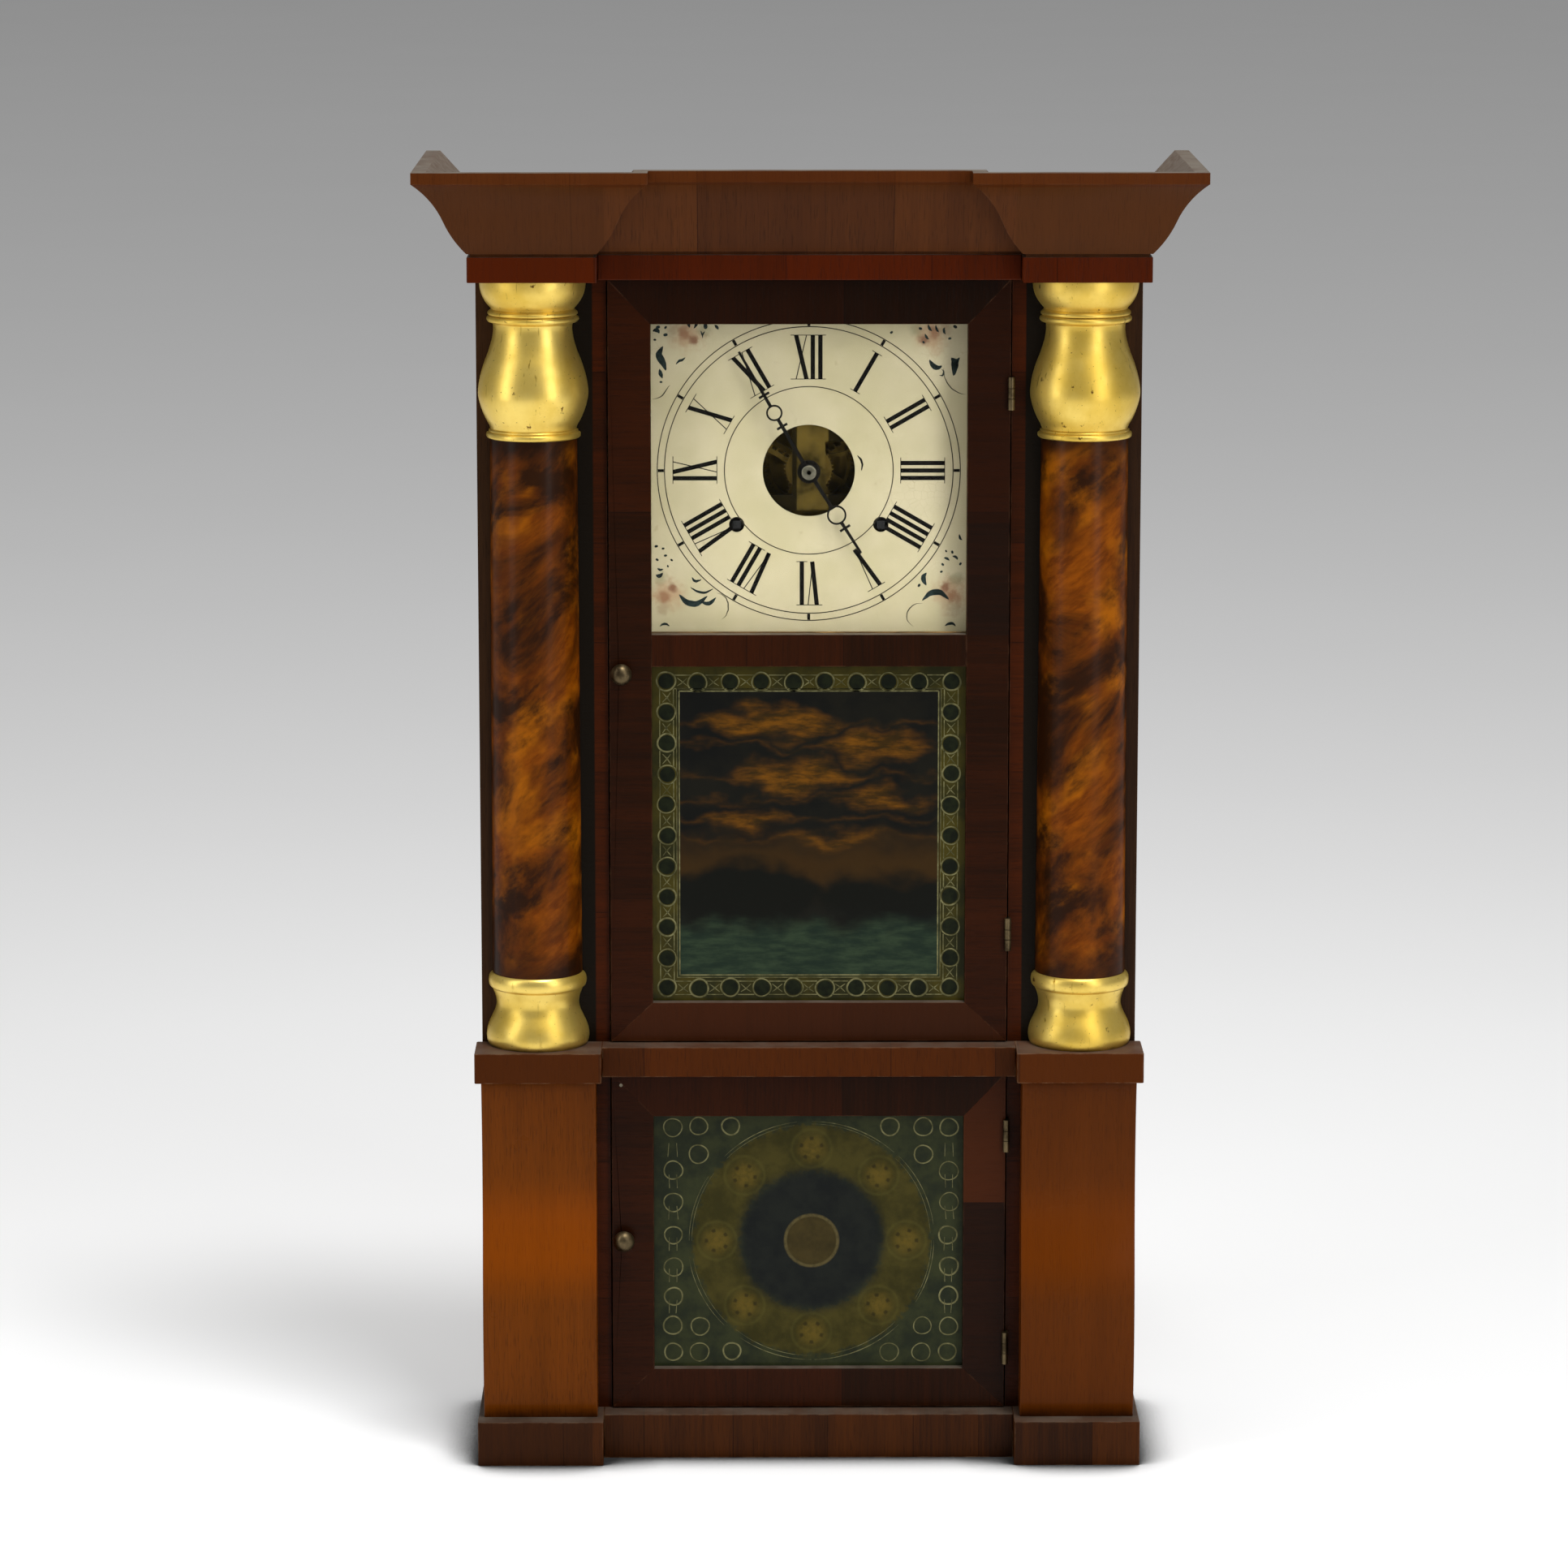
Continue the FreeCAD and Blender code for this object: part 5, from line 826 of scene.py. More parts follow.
class Layer:
    """Flat painted shapes on one upright plane, collected into one mesh; sizes in millimetres."""

    def __init__(self):
        self.points, self.faces = [], []

    def quad_strip(self, left, right, closed=False):
        """Faces between two lines of points."""
        first = len(self.points)
        self.points += [p for pair in zip(left, right) for p in pair]
        count = len(left)
        for i in range(count if closed else count - 1):
            j = (i + 1) % count
            self.faces.append((first + 2 * i, first + 2 * i + 1, first + 2 * j + 1, first + 2 * j))

    def ring(self, x, z, radius, width, wobble=0.0, points=RING_POINTS):
        """A circle line, with a little unsteadiness of the hand."""
        phase = random.uniform(0, math.tau)
        inner, outer = [], []
        for i in range(points):
            turn = math.tau * i / points
            r = radius + wobble * math.sin(3 * turn + phase)
            for line, edge in ((inner, r - width / 2), (outer, r + width / 2)):
                line.append((x + edge * math.sin(turn), z + edge * math.cos(turn)))
        self.quad_strip(inner, outer, closed=True)

    def stroke(self, path, widths):
        """A brush line along points, with a width at each."""
        left, right = [], []
        for i, (x, z) in enumerate(path):
            before, after = path[max(i - 1, 0)], path[min(i + 1, len(path) - 1)]
            dx, dz = after[0] - before[0], after[1] - before[1]
            size = math.hypot(dx, dz) or 1.0
            nx, nz = -dz / size * widths[i] / 2, dx / size * widths[i] / 2
            left.append((x - nx, z - nz))
            right.append((x + nx, z + nz))
        self.quad_strip(left, right)

    def blob(self, x, z, radius, lobes=0, depth=0.0, points=24, phase=0.0):
        """A filled round shape, or a flower outline with lobes."""
        first = len(self.points)
        for i in range(points):
            turn = math.tau * i / points
            r = radius + depth * math.cos(lobes * turn + phase)
            self.points.append((x + r * math.sin(turn), z + r * math.cos(turn)))
        self.faces.append(tuple(range(first, first + points)))

    def lay(self, name, y, material, body, slot):
        """Makes the mesh just in front of a surface at y, and lets it ride on a body."""
        mesh = bpy.data.meshes.new(name)
        mesh.from_pydata([(x * MM, (y - LAYER) * MM, z * MM) for x, z in self.points], [], self.faces)
        thicken(link_piece(name, mesh, material, body), LAYER_THICK)


def arc_path(x, z, radius, start, end, steps):
    """Points along part of a circle; angles in degrees, clockwise from the top."""
    turns = [math.radians(start + (end - start) * i / steps) for i in range(steps + 1)]
    return [(x + radius * math.sin(t), z + radius * math.cos(t)) for t in turns]


def tapered(count, thick):
    """Widths that swell in the middle of a stroke."""
    return [max(FINEST_LINE, thick * math.sin(math.pi * (i + 0.35) / (count - 0.3))) for i in range(count)]


def paint(name, light, dark, scale=90.0, rough=0.45, metallic=0.0):
    """Hand-laid paint of uneven thickness."""
    material, tree, shader = new_material(name, metallic=metallic, roughness=rough,
                                          specular_ior_level=0.08)
    thin = point(tree).noise(scale, 4.0, 0.6).spread(0.32, 0.68)
    connect(shader, {"Base Color": thin.blend(dark, light)})
    bump(shader, thin, 0.1, 0.00005)
    return material


random.seed(1840)
print("paint layer is", LAYER, "mm off its surface")

# %% [markdown]
# The chapter ring has Roman numerals that stand on the centre, with one thick and one hair stroke and
# fine serifs, between circles ruled with a compass. Four is written with four strokes, as on most dials.
# A small chip beside the hole shows the dark metal.

# %% Numerals and circles
NUMERALS = ("I", "II", "III", "IIII", "V", "VI", "VII", "VIII", "IX", "X", "XI", "XII")
NUMERAL_RADIUS = 72.6
NUMERAL_HALF = 14.0
THICK, HAIR, SERIF = 2.75, 0.6, 0.45
ADVANCE = {"I": 4.8, "V": 8.8, "X": 9.8}
LETTER_GAP, SERIF_REACH, V_FOOT = 1.6, 3.5, 0.2
MINUTE_CIRCLES = (96.6, 92.0)
INNER_CIRCLE = 53.8
CIRCLE_LINE, CIRCLE_POINTS = 0.6, 160
FIVE_MINUTE_MARKS, MARK_WIDTH = (92.4, 96.2), 1.9
CHIP = [(31.0, 651.3), (33.2, 648.8), (34.2, 645.6), (33.6, 641.8)]
CHIP_WIDTHS = [0.5, 1.4, 1.2, 0.5]
DIAL_FRONT = dial_low.y / MM

black_paint = paint("numeral_black", "#12100d", "#080706")
letters = Layer()


def numeral(text, hour):
    """One numeral, turned to stand on the dial's centre."""
    turn = math.radians(30 * hour)
    right, up = (math.cos(turn), -math.sin(turn)), (math.sin(turn), math.cos(turn))

    def at(u, v):
        out = NUMERAL_RADIUS + v
        return (u * right[0] + out * up[0], DIAL_CENTRE + u * right[1] + out * up[1])

    def line(u0, v0, u1, v1, width):
        letters.stroke([at(u0, v0), at(u1, v1)], [width, width])

    u = -sum(ADVANCE[letter] for letter in text) / 2
    for letter in text:
        width = ADVANCE[letter]
        middle = u + width / 2
        reach = width / 2 - LETTER_GAP
        if letter == "I":
            line(middle, -NUMERAL_HALF, middle, NUMERAL_HALF, THICK)
            ends = [(0.0, -NUMERAL_HALF), (0.0, NUMERAL_HALF)]
        else:
            foot = reach if letter == "X" else V_FOOT
            line(middle - reach, NUMERAL_HALF, middle + foot, -NUMERAL_HALF, THICK)
            line(middle + reach, NUMERAL_HALF, middle - foot, -NUMERAL_HALF, HAIR)
            ends = [(-reach, NUMERAL_HALF), (reach, NUMERAL_HALF)]
            ends += [(-reach, -NUMERAL_HALF), (reach, -NUMERAL_HALF)] if letter == "X" else []
        for side, v in ends:
            line(middle + side - SERIF_REACH, v, middle + side + SERIF_REACH, v, SERIF)
        u += width


for hour, text in enumerate(NUMERALS, 1):
    numeral(text, hour)
    turn = math.radians(30 * hour)
    mark = [(r * math.sin(turn), DIAL_CENTRE + r * math.cos(turn)) for r in FIVE_MINUTE_MARKS]
    letters.stroke(mark, [MARK_WIDTH, MARK_WIDTH])
letters.stroke(CHIP, CHIP_WIDTHS)
letters.lay("dial_numerals", DIAL_FRONT, black_paint, "case", "dial_paint")

circles = Layer()
for radius in MINUTE_CIRCLES + (INNER_CIRCLE,):
    circles.ring(0.0, DIAL_CENTRE, radius, CIRCLE_LINE, points=CIRCLE_POINTS)
circles.lay("dial_circles", DIAL_FRONT, paint("circle_ink", "#3f3a2f", "#241f18"), "case", "dial_paint")
print("numerals:", len(letters.faces), "faces")

# %% [markdown]
# The hands are thin steel, filed to a slim blade with an open ring and short cross bars. Each outline is
# drawn along the hand's own length and turned to its hour. Filling between the outline and its two round
# openings gives a flat plate, and a little thickness makes it solid. A small steel collet holds them on.

# %% Hands
HAND_THICK = 1.2
RING_WALL, BAR_LENGTH, BAR_WIDTH = 1.1, 7.4, 1.5
ARC_STEPS = 24
HANDS = {
    "minute_hand": {"turn": 330.0, "length": 89.0, "root": 2.7, "tip": 1.5, "hub": 5.2, "bore": 2.6,
                    "ring": 44.0, "ring_radius": 5.2, "bars": (34.0, 57.0), "body": "minute_hand_arbor"},
    "hour_hand": {"turn": 147.5, "length": 62.0, "root": 2.9, "tip": 1.6, "hub": 7.4, "bore": 3.7,
                  "ring": 33.0, "ring_radius": 6.2, "bars": (43.0,), "body": "hour_hand_pipe"}}
COLLET_GAUGE = ((4.6, 0.0), (4.6, 0.55), (4.2, 0.9), (3.2, 1.1), (1.6, 1.2))
COLLET_STEPS = 32


def round_edge(middle, radius, start, end):
    """Points on a circle round a place on the hand's length; angles in radians from its foot."""
    turns = [start + (end - start) * i / ARC_STEPS for i in range(ARC_STEPS + 1)]
    return [(radius * math.sin(turn), middle - radius * math.cos(turn)) for turn in turns]


def hand_loops(shape):
    """The closed outline of a hand and of its two openings; places across and along it."""
    def half(along):
        return (shape["root"] + (shape["tip"] - shape["root"]) * along / shape["length"]) / 2

    meet = math.asin(half(shape["hub"]) / shape["hub"])
    edge = round_edge(0.0, shape["hub"], 0.0, math.pi - meet)
    for along in sorted(shape["bars"] + (shape["ring"],)):
        if along == shape["ring"]:
            meet = math.asin(half(along) / shape["ring_radius"])
            edge += round_edge(along, shape["ring_radius"], meet, math.pi - meet)
        else:
            low, high = along - BAR_WIDTH / 2, along + BAR_WIDTH / 2
            edge += [(half(low), low), (BAR_LENGTH / 2, low), (BAR_LENGTH / 2, high), (half(high), high)]
    edge.append((shape["tip"] / 2, shape["length"]))
    outline = edge + [(-across, along) for across, along in reversed(edge[1:])]
    opening = round_edge(shape["ring"], shape["ring_radius"] - RING_WALL, 0.0, math.tau)[:-1]
    bore = round_edge(0.0, shape["bore"], 0.0, math.tau)[:-1]
    return outline, opening, bore


def slim_hand(node, shape):
    """One hand in the place of its solid-model node."""
    sine, cosine = math.sin(math.radians(shape["turn"])), math.cos(math.radians(shape["turn"]))
    middle_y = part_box(node)[1].y - HAND_THICK / 2 * MM
    plate = bmesh.new()
    for loop in hand_loops(shape):
        corners = [plate.verts.new((MM * (u * cosine + v * sine), middle_y,
                                    MM * (DIAL_CENTRE - u * sine + v * cosine))) for u, v in loop]
        for start, end in zip(corners, corners[1:] + corners[:1]):
            plate.edges.new((start, end))
    bmesh.ops.triangle_fill(plate, use_beauty=True, use_dissolve=False, edges=plate.edges[:],
                            normal=(0, -1, 0))
    mesh = bpy.data.meshes.new("slim_" + node)
    plate.to_mesh(mesh)
    plate.free()
    piece = link_piece("slim_" + node, mesh, nodes[node].data.materials[0], shape["body"])
    thicken(piece, HAND_THICK)
    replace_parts(piece, node)


def hand_collet():
    """A low domed steel collet on the front of the minute hand."""
    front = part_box("minute_hand")[1].y / MM - HAND_THICK
    turns = [math.tau * step / COLLET_STEPS for step in range(COLLET_STEPS)]
    points = [(MM * radius * math.sin(turn), MM * (front - stand),
               MM * (DIAL_CENTRE + radius * math.cos(turn)))
              for radius, stand in COLLET_GAUGE for turn in turns]
    rows = [list(range(row * COLLET_STEPS, (row + 1) * COLLET_STEPS)) for row in range(len(COLLET_GAUGE))]
    faces = []
    for row, after in zip(rows, rows[1:]):
        for i in range(COLLET_STEPS):
            j = (i + 1) % COLLET_STEPS
            faces.append((row[i], row[j], after[j], after[i]))
    faces += [rows[0][::-1], rows[-1]]
    mesh = bpy.data.meshes.new("hand_collet")
    mesh.from_pydata(points, [], faces)
    shade_round(mesh)
    steel = metal("collet_steel", "#d4d0bc", "#9a9684", 0.42, 300.0, "#3c382e", 0.5, 0.6)
    link_piece("hand_collet", mesh, steel, "minute_hand_arbor")


for node, shape in HANDS.items():
    slim_hand(node, shape)
hand_collet()
print("hands:", list(HANDS))

# %% [markdown]
# Round each rose lie dark teal leaves, laid with one press of the brush, a few dots and a thin scroll.
# The upper sprays hang down and the lower ones lie along the foot, each a little different, as freehand
# work is. A leaf is four places and a thickness, a dot a place and a size.

# %% Corner sprays
leaf_paint = paint("leaf_teal", "#2c3a3a", "#161d1d", 200.0, 0.6)
stem_paint = paint("stem_grey", "#5a5646", "#454134", 200.0, 0.6)
UNSTEADY = 0.15
LEAF_STEPS, SCROLL_STEPS, SCROLL_LINE = 12, 20, 0.75
UPPER_LEFT = {
    "leaves": (((7.6, 16.6), (5.0, 21.5), (7.4, 26.5), (9.4, 32.0), 4.6),
               ((15.8, 28.0), (17.8, 25.8), (19.8, 25.2), (21.8, 23.4), 1.7),
               ((1.2, 6.8), (2.8, 6.2), (4.4, 6.6), (5.4, 8.2), 2.6),
               ((27.2, 5.0), (28.4, 3.4), (29.4, 1.8), (30.2, 0.6), 1.8),
               ((23.2, 0.4), (23.8, 1.8), (24.2, 3.2), (24.6, 4.6), 1.9),
               ((5.4, 31.0), (5.8, 33.0), (6.4, 35.0), (7.2, 36.8), 2.6),
               ((31.6, 6.6), (32.2, 8.0), (32.6, 9.4), (32.8, 11.4), 1.0),
               ((34.2, 6.8), (33.6, 8.0), (33.0, 9.0), (32.8, 10.0), 0.9),
               ((40.4, 2.8), (41.4, 3.8), (42.2, 4.8), (42.8, 6.0), 1.9)),
    "dots": ((4.4, 4.4, 1.2), (9.2, 9.2, 1.2), (34.8, 3.6, 1.6), (6.3, 39.4, 0.8), (9.2, 4.4, 0.9),
             (2.6, 12.4, 0.8)),
    "scroll": ((0.6, 50.2), (4.0, 49.6), (7.0, 48.0), (9.0, 45.4), (10.8, 42.6), (12.4, 41.2))}
UPPER_RIGHT = {
    "leaves": (((9.8, 24.0), (7.8, 26.4), (7.6, 30.0), (8.4, 35.4), 4.8),
               ((4.4, 23.8), (5.6, 25.2), (6.6, 27.6), (7.6, 31.0), 2.2),
               ((23.6, 25.0), (21.8, 28.6), (18.6, 30.2), (15.6, 29.0), 3.4),
               ((15.8, 31.0), (14.6, 33.0), (15.4, 35.2), (17.4, 34.8), 1.1),
               ((24.6, 2.6), (24.2, 4.2), (23.4, 5.8), (22.2, 6.8), 1.7),
               ((19.8, 3.0), (19.4, 4.8), (18.8, 6.4), (17.8, 7.6), 1.5),
               ((26.6, 8.6), (26.0, 10.0), (25.2, 11.2), (24.0, 12.0), 1.6),
               ((14.2, 4.6), (14.6, 6.0), (14.4, 7.6), (13.6, 9.0), 1.6)),
    "dots": ((29.6, 5.2, 1.0), (10.8, 11.6, 0.9), (27.4, 14.0, 0.8), (48.0, 7.6, 0.9), (7.4, 4.0, 1.2)),
    "scroll": ((14.8, 30.6), (14.0, 36.0), (11.6, 41.0), (8.0, 44.6), (4.2, 46.6), (0.6, 47.2))}
LOWER_LEFT = {
    "leaves": (((17.4, 22.4), (22.0, 17.6), (29.0, 16.6), (35.6, 21.4), 4.0),
               ((24.6, 27.2), (29.0, 24.4), (34.6, 23.8), (39.4, 26.4), 1.6),
               ((30.8, 18.6), (34.6, 16.4), (38.2, 17.6), (41.0, 20.6), 2.6),
               ((25.6, 33.6), (26.8, 31.6), (29.0, 31.0), (31.6, 32.2), 1.7),
               ((2.6, 35.2), (4.0, 34.4), (5.6, 34.8), (7.0, 36.4), 2.6),
               ((3.6, 39.6), (4.6, 38.6), (6.0, 38.4), (7.4, 39.0), 1.5),
               ((5.0, 1.8), (7.0, 3.2), (9.2, 3.2), (11.2, 1.8), 1.6)),
    "dots": ((3.4, 45.0, 0.9), (8.6, 47.6, 0.9), (12.6, 44.6, 0.8), (3.0, 53.4, 1.0), (7.4, 52.0, 0.8),
             (10.2, 40.6, 0.7)),
    "scroll": ((41.6, 23.2), (45.4, 22.0), (48.2, 18.4), (48.8, 13.4), (47.4, 9.0), (44.6, 6.4))}
LOWER_RIGHT = {
    "leaves": (((27.6, 18.4), (22.0, 23.2), (16.0, 23.4), (10.6, 19.0), 4.0),
               ((25.0, 36.4), (26.8, 34.0), (26.6, 31.2), (25.2, 28.2), 3.2),
               ((6.0, 1.8), (8.2, 3.4), (10.6, 3.4), (13.0, 1.8), 1.9),
               ((5.0, 44.6), (5.8, 46.0), (7.0, 46.8), (8.4, 47.0), 1.7),
               ((10.4, 44.0), (11.4, 45.2), (12.6, 45.8), (14.0, 45.8), 1.6),
               ((2.2, 57.4), (3.4, 58.2), (4.0, 59.6), (4.0, 61.2), 1.5)),
    "dots": ((3.4, 42.0, 0.9), (8.6, 49.6, 0.9), (14.6, 41.6, 0.9), (29.6, 28.2, 1.0), (15.6, 37.0, 0.8),
             (12.6, 50.4, 0.7)),
    "scroll": ((27.6, 16.6), (32.0, 16.0), (35.6, 13.4), (37.4, 9.4), (36.8, 5.0), (33.4, 1.6))}
CORNERS = ((-1, True, UPPER_LEFT), (-1, False, LOWER_LEFT),
           (1, True, UPPER_RIGHT), (1, False, LOWER_RIGHT))
spray_leaves, stems = Layer(), Layer()


def spray(side, upper, marks):
    """One corner's marks; p runs in from the side of the sight and q from its top or foot."""
    def at(p, q):
        p += random.uniform(-UNSTEADY, UNSTEADY)
        q += random.uniform(-UNSTEADY, UNSTEADY)
        return (side * (SIGHT_SIDE - p), SIGHT_TOP - q if upper else SIGHT_FOOT + q)

    def brush(layer, points, steps, thick):
        layer.stroke([at(p, q) for p, q in smooth(points, steps)], tapered(steps + 1, thick))

    for *points, thick in marks["leaves"]:
        brush(spray_leaves, points, LEAF_STEPS, thick)
    for p, q, radius in marks["dots"]:
        spray_leaves.blob(*at(p, q), radius, 2, 0.2 * radius, 12, random.uniform(0, 6))
    brush(stems, marks["scroll"], SCROLL_STEPS, SCROLL_LINE)


for side, upper, marks in CORNERS:
    spray(side, upper, marks)
spray_leaves.lay("spray_leaves", DIAL_FRONT, leaf_paint, "case", "dial_paint")
stems.lay("spray_stems", DIAL_FRONT, stem_paint, "case", "dial_paint")
print("sprays:", len(spray_leaves.faces) + len(stems.faces), "faces")

# %% [markdown]
# The middle pane is painted on its back. The design here is a plain one of its own: long amber clouds
# over dark hills, with a green bank below. Each cloud or hill is a soft lens shape in the shader, and the
# pane is shown as dark glossy paint under glass, with an olive band under the border.

# %% Middle tablet
PAINTED_GLASS = {"roughness": 0.45, "coat_weight": 0.1, "coat_roughness": 0.04,
                 "specular_ior_level": 0.03}
CLOUDS = ((-0.078, 0.481, 0.105, 0.011), (0.004, 0.466, 0.076, 0.012), (-0.052, 0.447, 0.09, 0.013),
          (0.018, 0.432, 0.06, 0.008), (-0.074, 0.419, 0.066, 0.008), (-0.02, 0.406, 0.075, 0.006))
HILLS = ((-0.11, 0.37, 0.13, 0.024), (-0.01, 0.368, 0.12, 0.017))
BANK_LEVEL, GLOW_LEVEL, GLOW_REACH, WAVE = 0.352, 0.388, 0.028, 0.034
BAND_X, BAND_Z, BAND_MIDDLE = (0.083, 0.085), (0.0925, 0.0945), 0.4093

LENS_SHAPE, given, result = new_group(
    "soft_lens", ("X", "Z", "Left", "Level", "Length", "Half"), ("Mask",))
share = (given["X"] - given["Left"]) / given["Length"]
inside = share.calc("MAXIMUM", 0.0).calc("MINIMUM", 1.0)
belly = (inside * math.pi).calc("SINE")
edge = belly * given["Half"] - abs(given["Z"] - given["Level"])
connect(result, {"Mask": edge.spread(-0.004, 0.009)})


def soft_shapes(tree, x, z, shapes):
    """Several lens shapes as one mask."""
    mask = 0.0
    for left, level, length, half in shapes:
        shape = use(tree, LENS_SHAPE, X=x, Z=z, Left=left, Level=level, Length=length, Half=half)
        mask = shape["Mask"].calc("MAXIMUM", mask)
    return mask


def middle_tablet():
    """Dark painted glass with amber clouds over hills and a green bank."""
    material, tree, shader = new_material("middle_tablet", **PAINTED_GLASS)
    place, x, y, z = where(tree)
    cloud = place.noise(34.0, 4.0, 0.6)
    ground = cloud.spread(0.35, 0.7).blend("#0e0f0d", "#171610")
    bent = place.stretched(36.0, 0.0, 50.0).noise(rough=0.45)
    wavy_z = (bent - 0.5).calc("MULTIPLY_ADD", WAVE, z)
    brush = place.stretched(50.0, 0.0, 190.0).noise(detail=4.0, rough=0.6)
    amber = brush.spread(0.35, 0.68).blend("#3a2808", "#7e4e0c")
    colour = (soft_shapes(tree, x, wavy_z, CLOUDS) * 0.8).blend(ground, amber)
    low_sky = abs(wavy_z - GLOW_LEVEL).spread(GLOW_REACH, 0.0, 0.0, 0.38)
    colour = low_sky.blend(colour, "#563809")
    colour = soft_shapes(tree, x, wavy_z, HILLS).blend(colour, "#0e0f0a")
    green = brush.spread(0.35, 0.7).blend("#1c2a20", "#31402d")
    colour = (wavy_z - BANK_LEVEL).spread(0.006, -0.012).blend(colour, green)
    olive = cloud.spread(0.35, 0.65).blend("#262610", "#433c12")
    band = abs(x).spread(*BAND_X).calc("MAXIMUM", abs(z - BAND_MIDDLE).spread(*BAND_Z))
    connect(shader, {"Base Color": band.blend(colour, olive)})
    return material


give(middle_tablet(), "upper_tablet")
print("clouds:", len(CLOUDS), "hills:", len(HILLS))

# %% [markdown]
# The lower pane has a wreath round a dark disc, on a green-gold ground. Round shapes come from the
# distance to the pane's centre, and eight rosettes come from folding the circle into eight equal parts.
# Each rosette has a bright heart, five dark spots round it and a faint rim.

# %% Lower tablet
WREATH_CENTRE = (0.002, 0.1398)
WREATH_RADIUS, WREATH_HALF = 0.0615, 0.0165
DISC_RADIUS, EYE_RADIUS = 0.0488, 0.0182
CORE_RADIUS, RIM_RADIUS, SPOT_RADIUS, SPOTS = 0.0095, 1.35 * 0.0095, 0.0068, 5.0
ROSETTES = 8
SECTOR = math.tau / ROSETTES

WREATH, given, result = new_group("wreath", ("X", "Z"), ("Radius", "Core", "Rim", "Spots"))
radius = distance(given["X"], given["Z"])
turn = given["Z"].calc("ARCTAN2", given["X"])
folded = (turn + SECTOR / 2).calc("FLOORED_MODULO", SECTOR) - SECTOR / 2
near = radius * folded.calc("COSINE") - WREATH_RADIUS
side = radius * folded.calc("SINE")
reach = distance(near, side)
lobe = (side.calc("ARCTAN2", near) * SPOTS).calc("COSINE")
core = lobe.calc("MULTIPLY_ADD", 0.0004, reach).spread(CORE_RADIUS + 0.003, 0.2 * CORE_RADIUS)
spot_ring = abs(reach - SPOT_RADIUS).spread(0.0018, 0.0004)
connect(result, {"Radius": radius, "Core": core, "Rim": abs(reach - RIM_RADIUS).spread(0.0018, 0.0),
                 "Spots": spot_ring * lobe.spread(0.3, 0.95)})


def lower_tablet():
    """Dark painted glass with a wreath of rosettes."""
    material, tree, shader = new_material("lower_tablet", **PAINTED_GLASS)
    place, x, y, z = where(tree)
    cloud = place.noise(60.0, 5.0, 0.65)
    fine = place.noise(320.0, 3.0, 0.6)
    tone = cloud.spread(0.35, 0.65)
    patchy = fine.spread(0.3, 0.6, 0.45, 0.9)
    wreath = use(tree, WREATH, X=x - WREATH_CENTRE[0], Z=z - WREATH_CENTRE[1])
    radius = wreath["Radius"]
    ragged = (fine - 0.5).calc("MULTIPLY_ADD", 0.012, abs(radius - WREATH_RADIUS))
    band = ragged.spread(WREATH_HALF + 0.001, WREATH_HALF - 0.003)
    colour = band.blend(tone.blend("#22271a", "#333720"), tone.blend("#332f0e", "#463f17"))
    colour = (wreath["Core"] * patchy).blend(colour, "#62511a")
    colour = (wreath["Rim"] * 0.2).blend(colour, "#615a26")
    colour = (wreath["Spots"] * 0.7).blend(colour, "#241f0a")
    loose_radius = (cloud - 0.5).calc("MULTIPLY_ADD", 0.004, radius)
    disc = loose_radius.spread(DISC_RADIUS + 0.004, DISC_RADIUS - 0.008)
    colour = disc.blend(colour, tone.blend("#141716", "#1c1f1b"))
    eye = radius.spread(EYE_RADIUS, EYE_RADIUS - 0.003)
    colour = eye.blend(colour, tone.blend("#332b12", "#43381a"))
    eye_rim = abs(radius - (EYE_RADIUS - 0.0012)).spread(0.0016, 0.0003)
    connect(shader, {"Base Color": (eye_rim * patchy).blend(colour, "#5d5230")})
    return material


give(lower_tablet(), "lower_tablet")
print("rosettes:", ROSETTES)

# %% [markdown]
# Both panes have a border of small gold rings. On the middle pane short bars and crosses tie each ring to
# the next, inside a ruled double line; on the lower pane thin arcs run round the wreath. Place, size and
# line are a little unsteady, as handwork is. The lower door also has a pin head in its corner.

# %% Gold borders
gold_line = paint("border_gold", "#807c55", "#4d4b2e", 170.0, 0.45, 0.2)
heart_paint = paint("ring_heart", "#1b2010", "#0f130a", 170.0)
RING_RADIUS, RING_LINE = 5.9, 0.95
BAR_OFF, CROSS_OFF = 4.4, 2.6
RINGS_ACROSS, RINGS_DOWN = 10, 11
RINGS_HALF, RINGS_FOOT, RINGS_RISE = 91, 308, 200
RULED_LINES = ((83.0, 316.5, 502.0, 0.8), (84.6, 314.9, 503.6, 0.35))
LOWER_RINGS = [(-88, z) for z in (215.5, 186.5, 165.5, 143.5, 122.5, 102.5, 82.5, 65)]
LOWER_RINGS += [(-71, 216), (-71, 197.5), (-71, 82.5), (-71, 65), (-50, 216), (-50, 65)]
MIRROR_SHIFT = 3.0
TIE_XS, TIE_SPANS = (-85.5, -90.5, 88.5, 93.5), tuple(zip(range(205, 80, -21), range(196, 75, -21)))
WREATH_LINES = ((80.0, 0.6), (77.6, 0.3))
ARC_PARTS = 16
PIN_PLACE, PIN_RADIUS = (-121.2, 245.2), 1.1
PANE_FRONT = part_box("upper_tablet")[0].y / MM
upper_border, hearts, lower_border, pin = Layer(), Layer(), Layer(), Layer()


def stamp(layer, x, z, hearts=None):
    """One ring of the border, with a dark heart where a layer for it is given."""
    x += random.uniform(-0.5, 0.5)
    z += random.uniform(-0.5, 0.5)
    radius = RING_RADIUS + random.uniform(-0.25, 0.25)
    layer.ring(x, z, radius, RING_LINE * random.uniform(0.7, 1.15), 0.15)
    if hearts:
        hearts.blob(x, z, RING_RADIUS - RING_LINE)


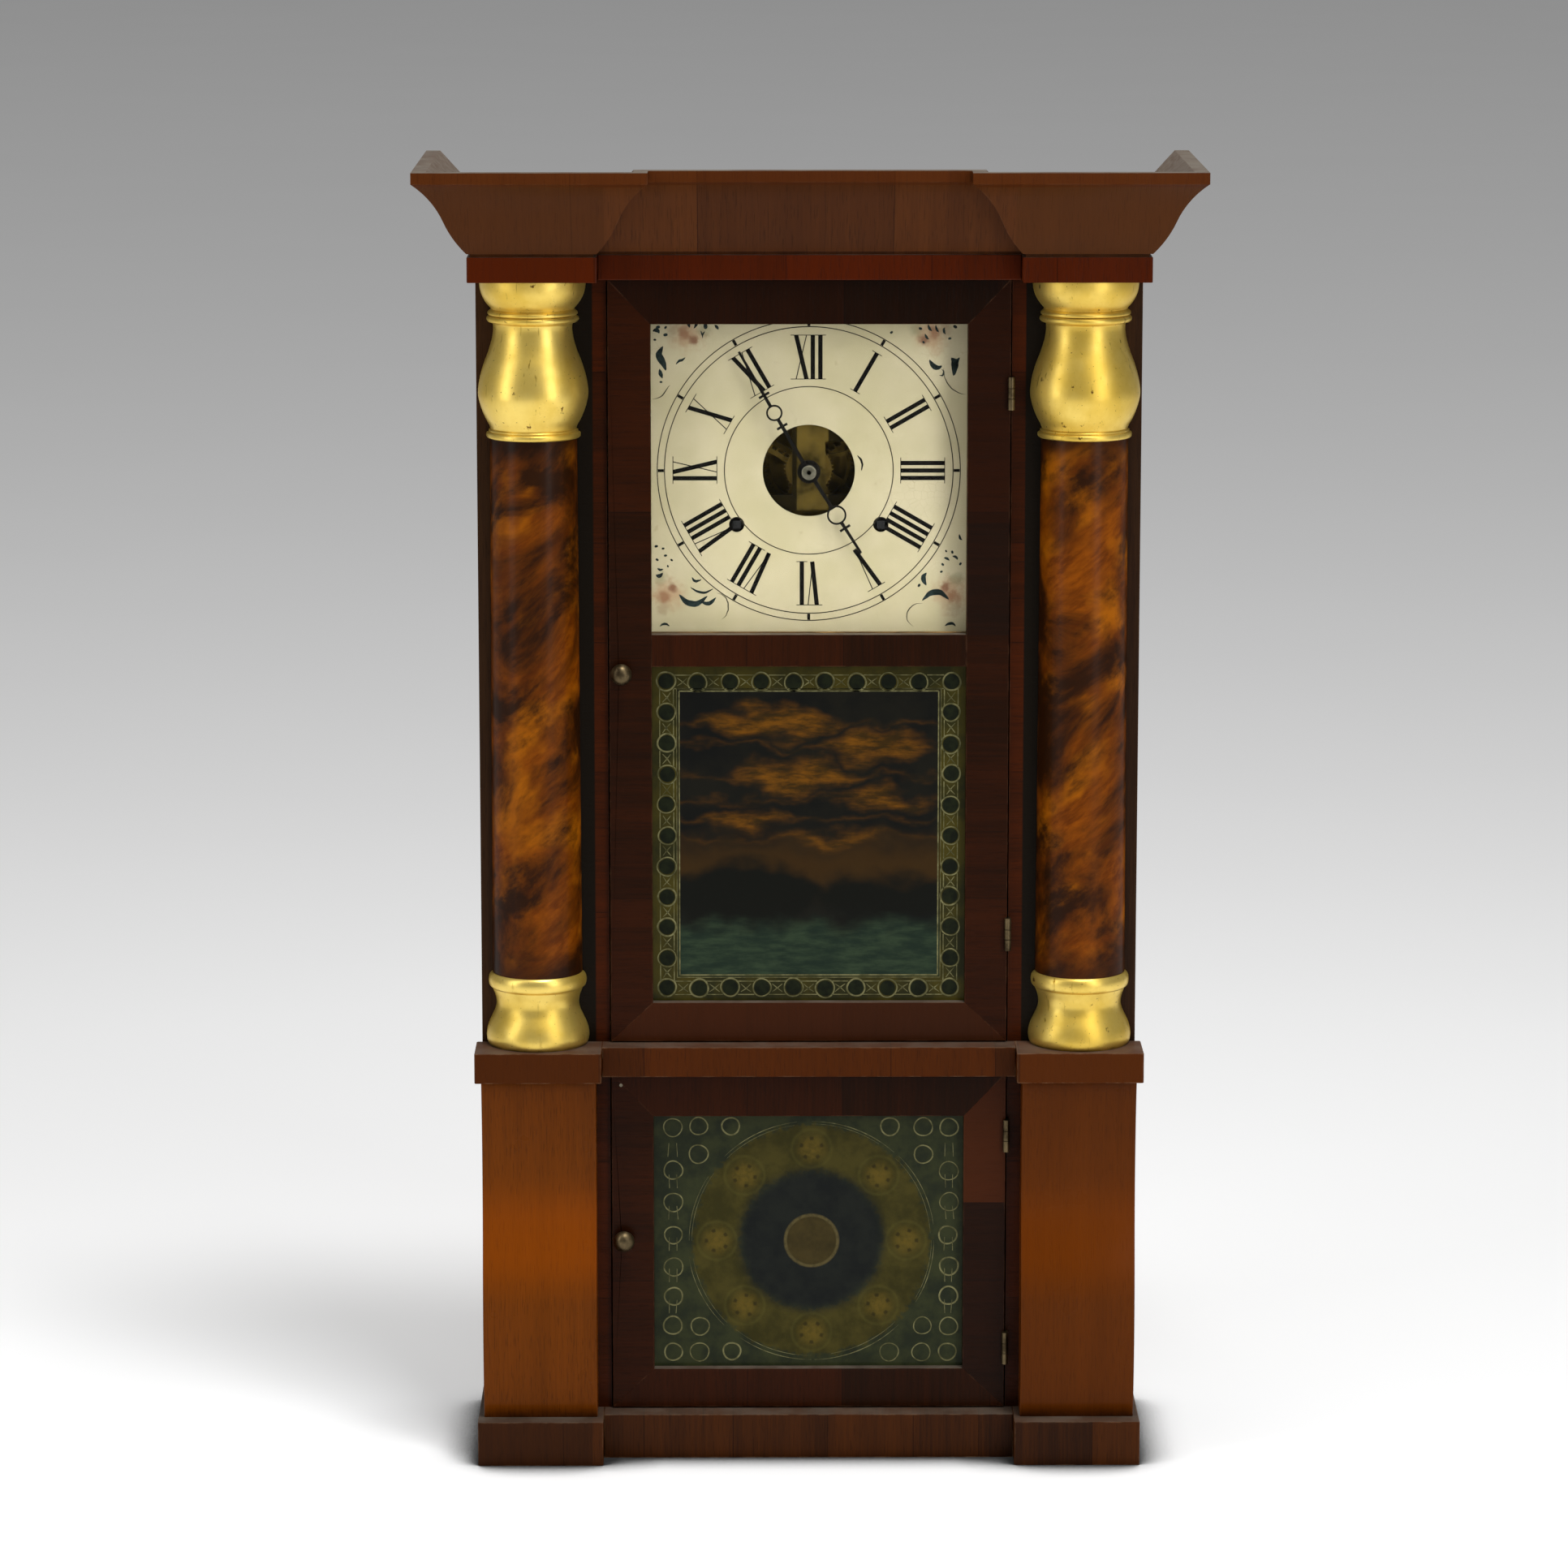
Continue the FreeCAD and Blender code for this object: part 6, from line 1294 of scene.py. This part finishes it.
def tie(layer, start, end):
    """What joins two neighbouring rings: two short bars and a small cross between them."""
    (x0, z0), (x1, z1) = start, end
    length = math.hypot(x1 - x0, z1 - z0)
    ux, uz = (x1 - x0) / length, (z1 - z0) / length
    bare = RING_RADIUS * 0.8

    def at(share, off):
        s = bare + (length - 2 * bare) * share
        return (x0 + ux * s - uz * off, z0 + uz * s + ux * off)

    for off in (-BAR_OFF, BAR_OFF):
        layer.stroke([at(0.0, off), at(1.0, off)], [random.uniform(0.35, 0.7)] * 2)
    for off in (-CROSS_OFF, CROSS_OFF):
        tips = [at(0.2, -off), at(0.5, random.uniform(-0.6, 0.6)), at(0.8, off)]
        layer.stroke(tips, [0.3, random.uniform(0.5, 0.9), 0.3])


ring_xs = [-RINGS_HALF + 2 * RINGS_HALF * i / (RINGS_ACROSS - 1) for i in range(RINGS_ACROSS)]
ring_zs = [RINGS_FOOT + RINGS_RISE * i / (RINGS_DOWN - 1) for i in range(RINGS_DOWN)]
border = [(x, ring_zs[0]) for x in ring_xs[:-1]] + [(ring_xs[-1], z) for z in ring_zs[:-1]]
border += [(x, ring_zs[-1]) for x in ring_xs[:0:-1]] + [(ring_xs[0], z) for z in ring_zs[:0:-1]]
for start, end in zip(border, border[1:] + border[:1]):
    stamp(upper_border, *start, hearts)
    tie(upper_border, start, end)
for half, low, high, width in RULED_LINES:
    corners = [(-half, low), (half, low), (half, high), (-half, high)]
    for start, end in zip(corners, corners[1:] + corners[:1]):
        upper_border.stroke([start, end], [width, width])
upper_border.lay("middle_border", PANE_FRONT, gold_line, "upper_door", "painted_glass")
hearts.lay("ring_hearts", PANE_FRONT, heart_paint, "upper_door", "painted_glass")

for x, z in LOWER_RINGS:
    stamp(lower_border, x, z)
    stamp(lower_border, MIRROR_SHIFT - x, z)
for high, low in TIE_SPANS:
    for x in TIE_XS:
        lower_border.stroke([(x, high), (x + random.uniform(-1, 1), low)], [0.3, 0.4])
centre_x, centre_z = (v / MM for v in WREATH_CENTRE)
for radius, width in WREATH_LINES:
    for start in range(0, 360, 45):
        end = start + random.uniform(30, 44)
        path = arc_path(centre_x, centre_z, radius + random.uniform(-0.5, 0.5), start, end, ARC_PARTS)
        lower_border.stroke(path, tapered(ARC_PARTS + 1, width * random.uniform(0.7, 1.3)))
lower_border.lay("lower_border", PANE_FRONT, gold_line, "lower_door", "painted_glass")

pin.blob(*PIN_PLACE, PIN_RADIUS)
pin_brass = paint("pin_brass", "#a39a86", "#6b6353", metallic=0.6)
pin.lay("pin_head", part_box("lower_door_rails")[0].y / MM, pin_brass, "lower_door", "aged_brass")
print("rings:", len(border) + 2 * len(LOWER_RINGS))
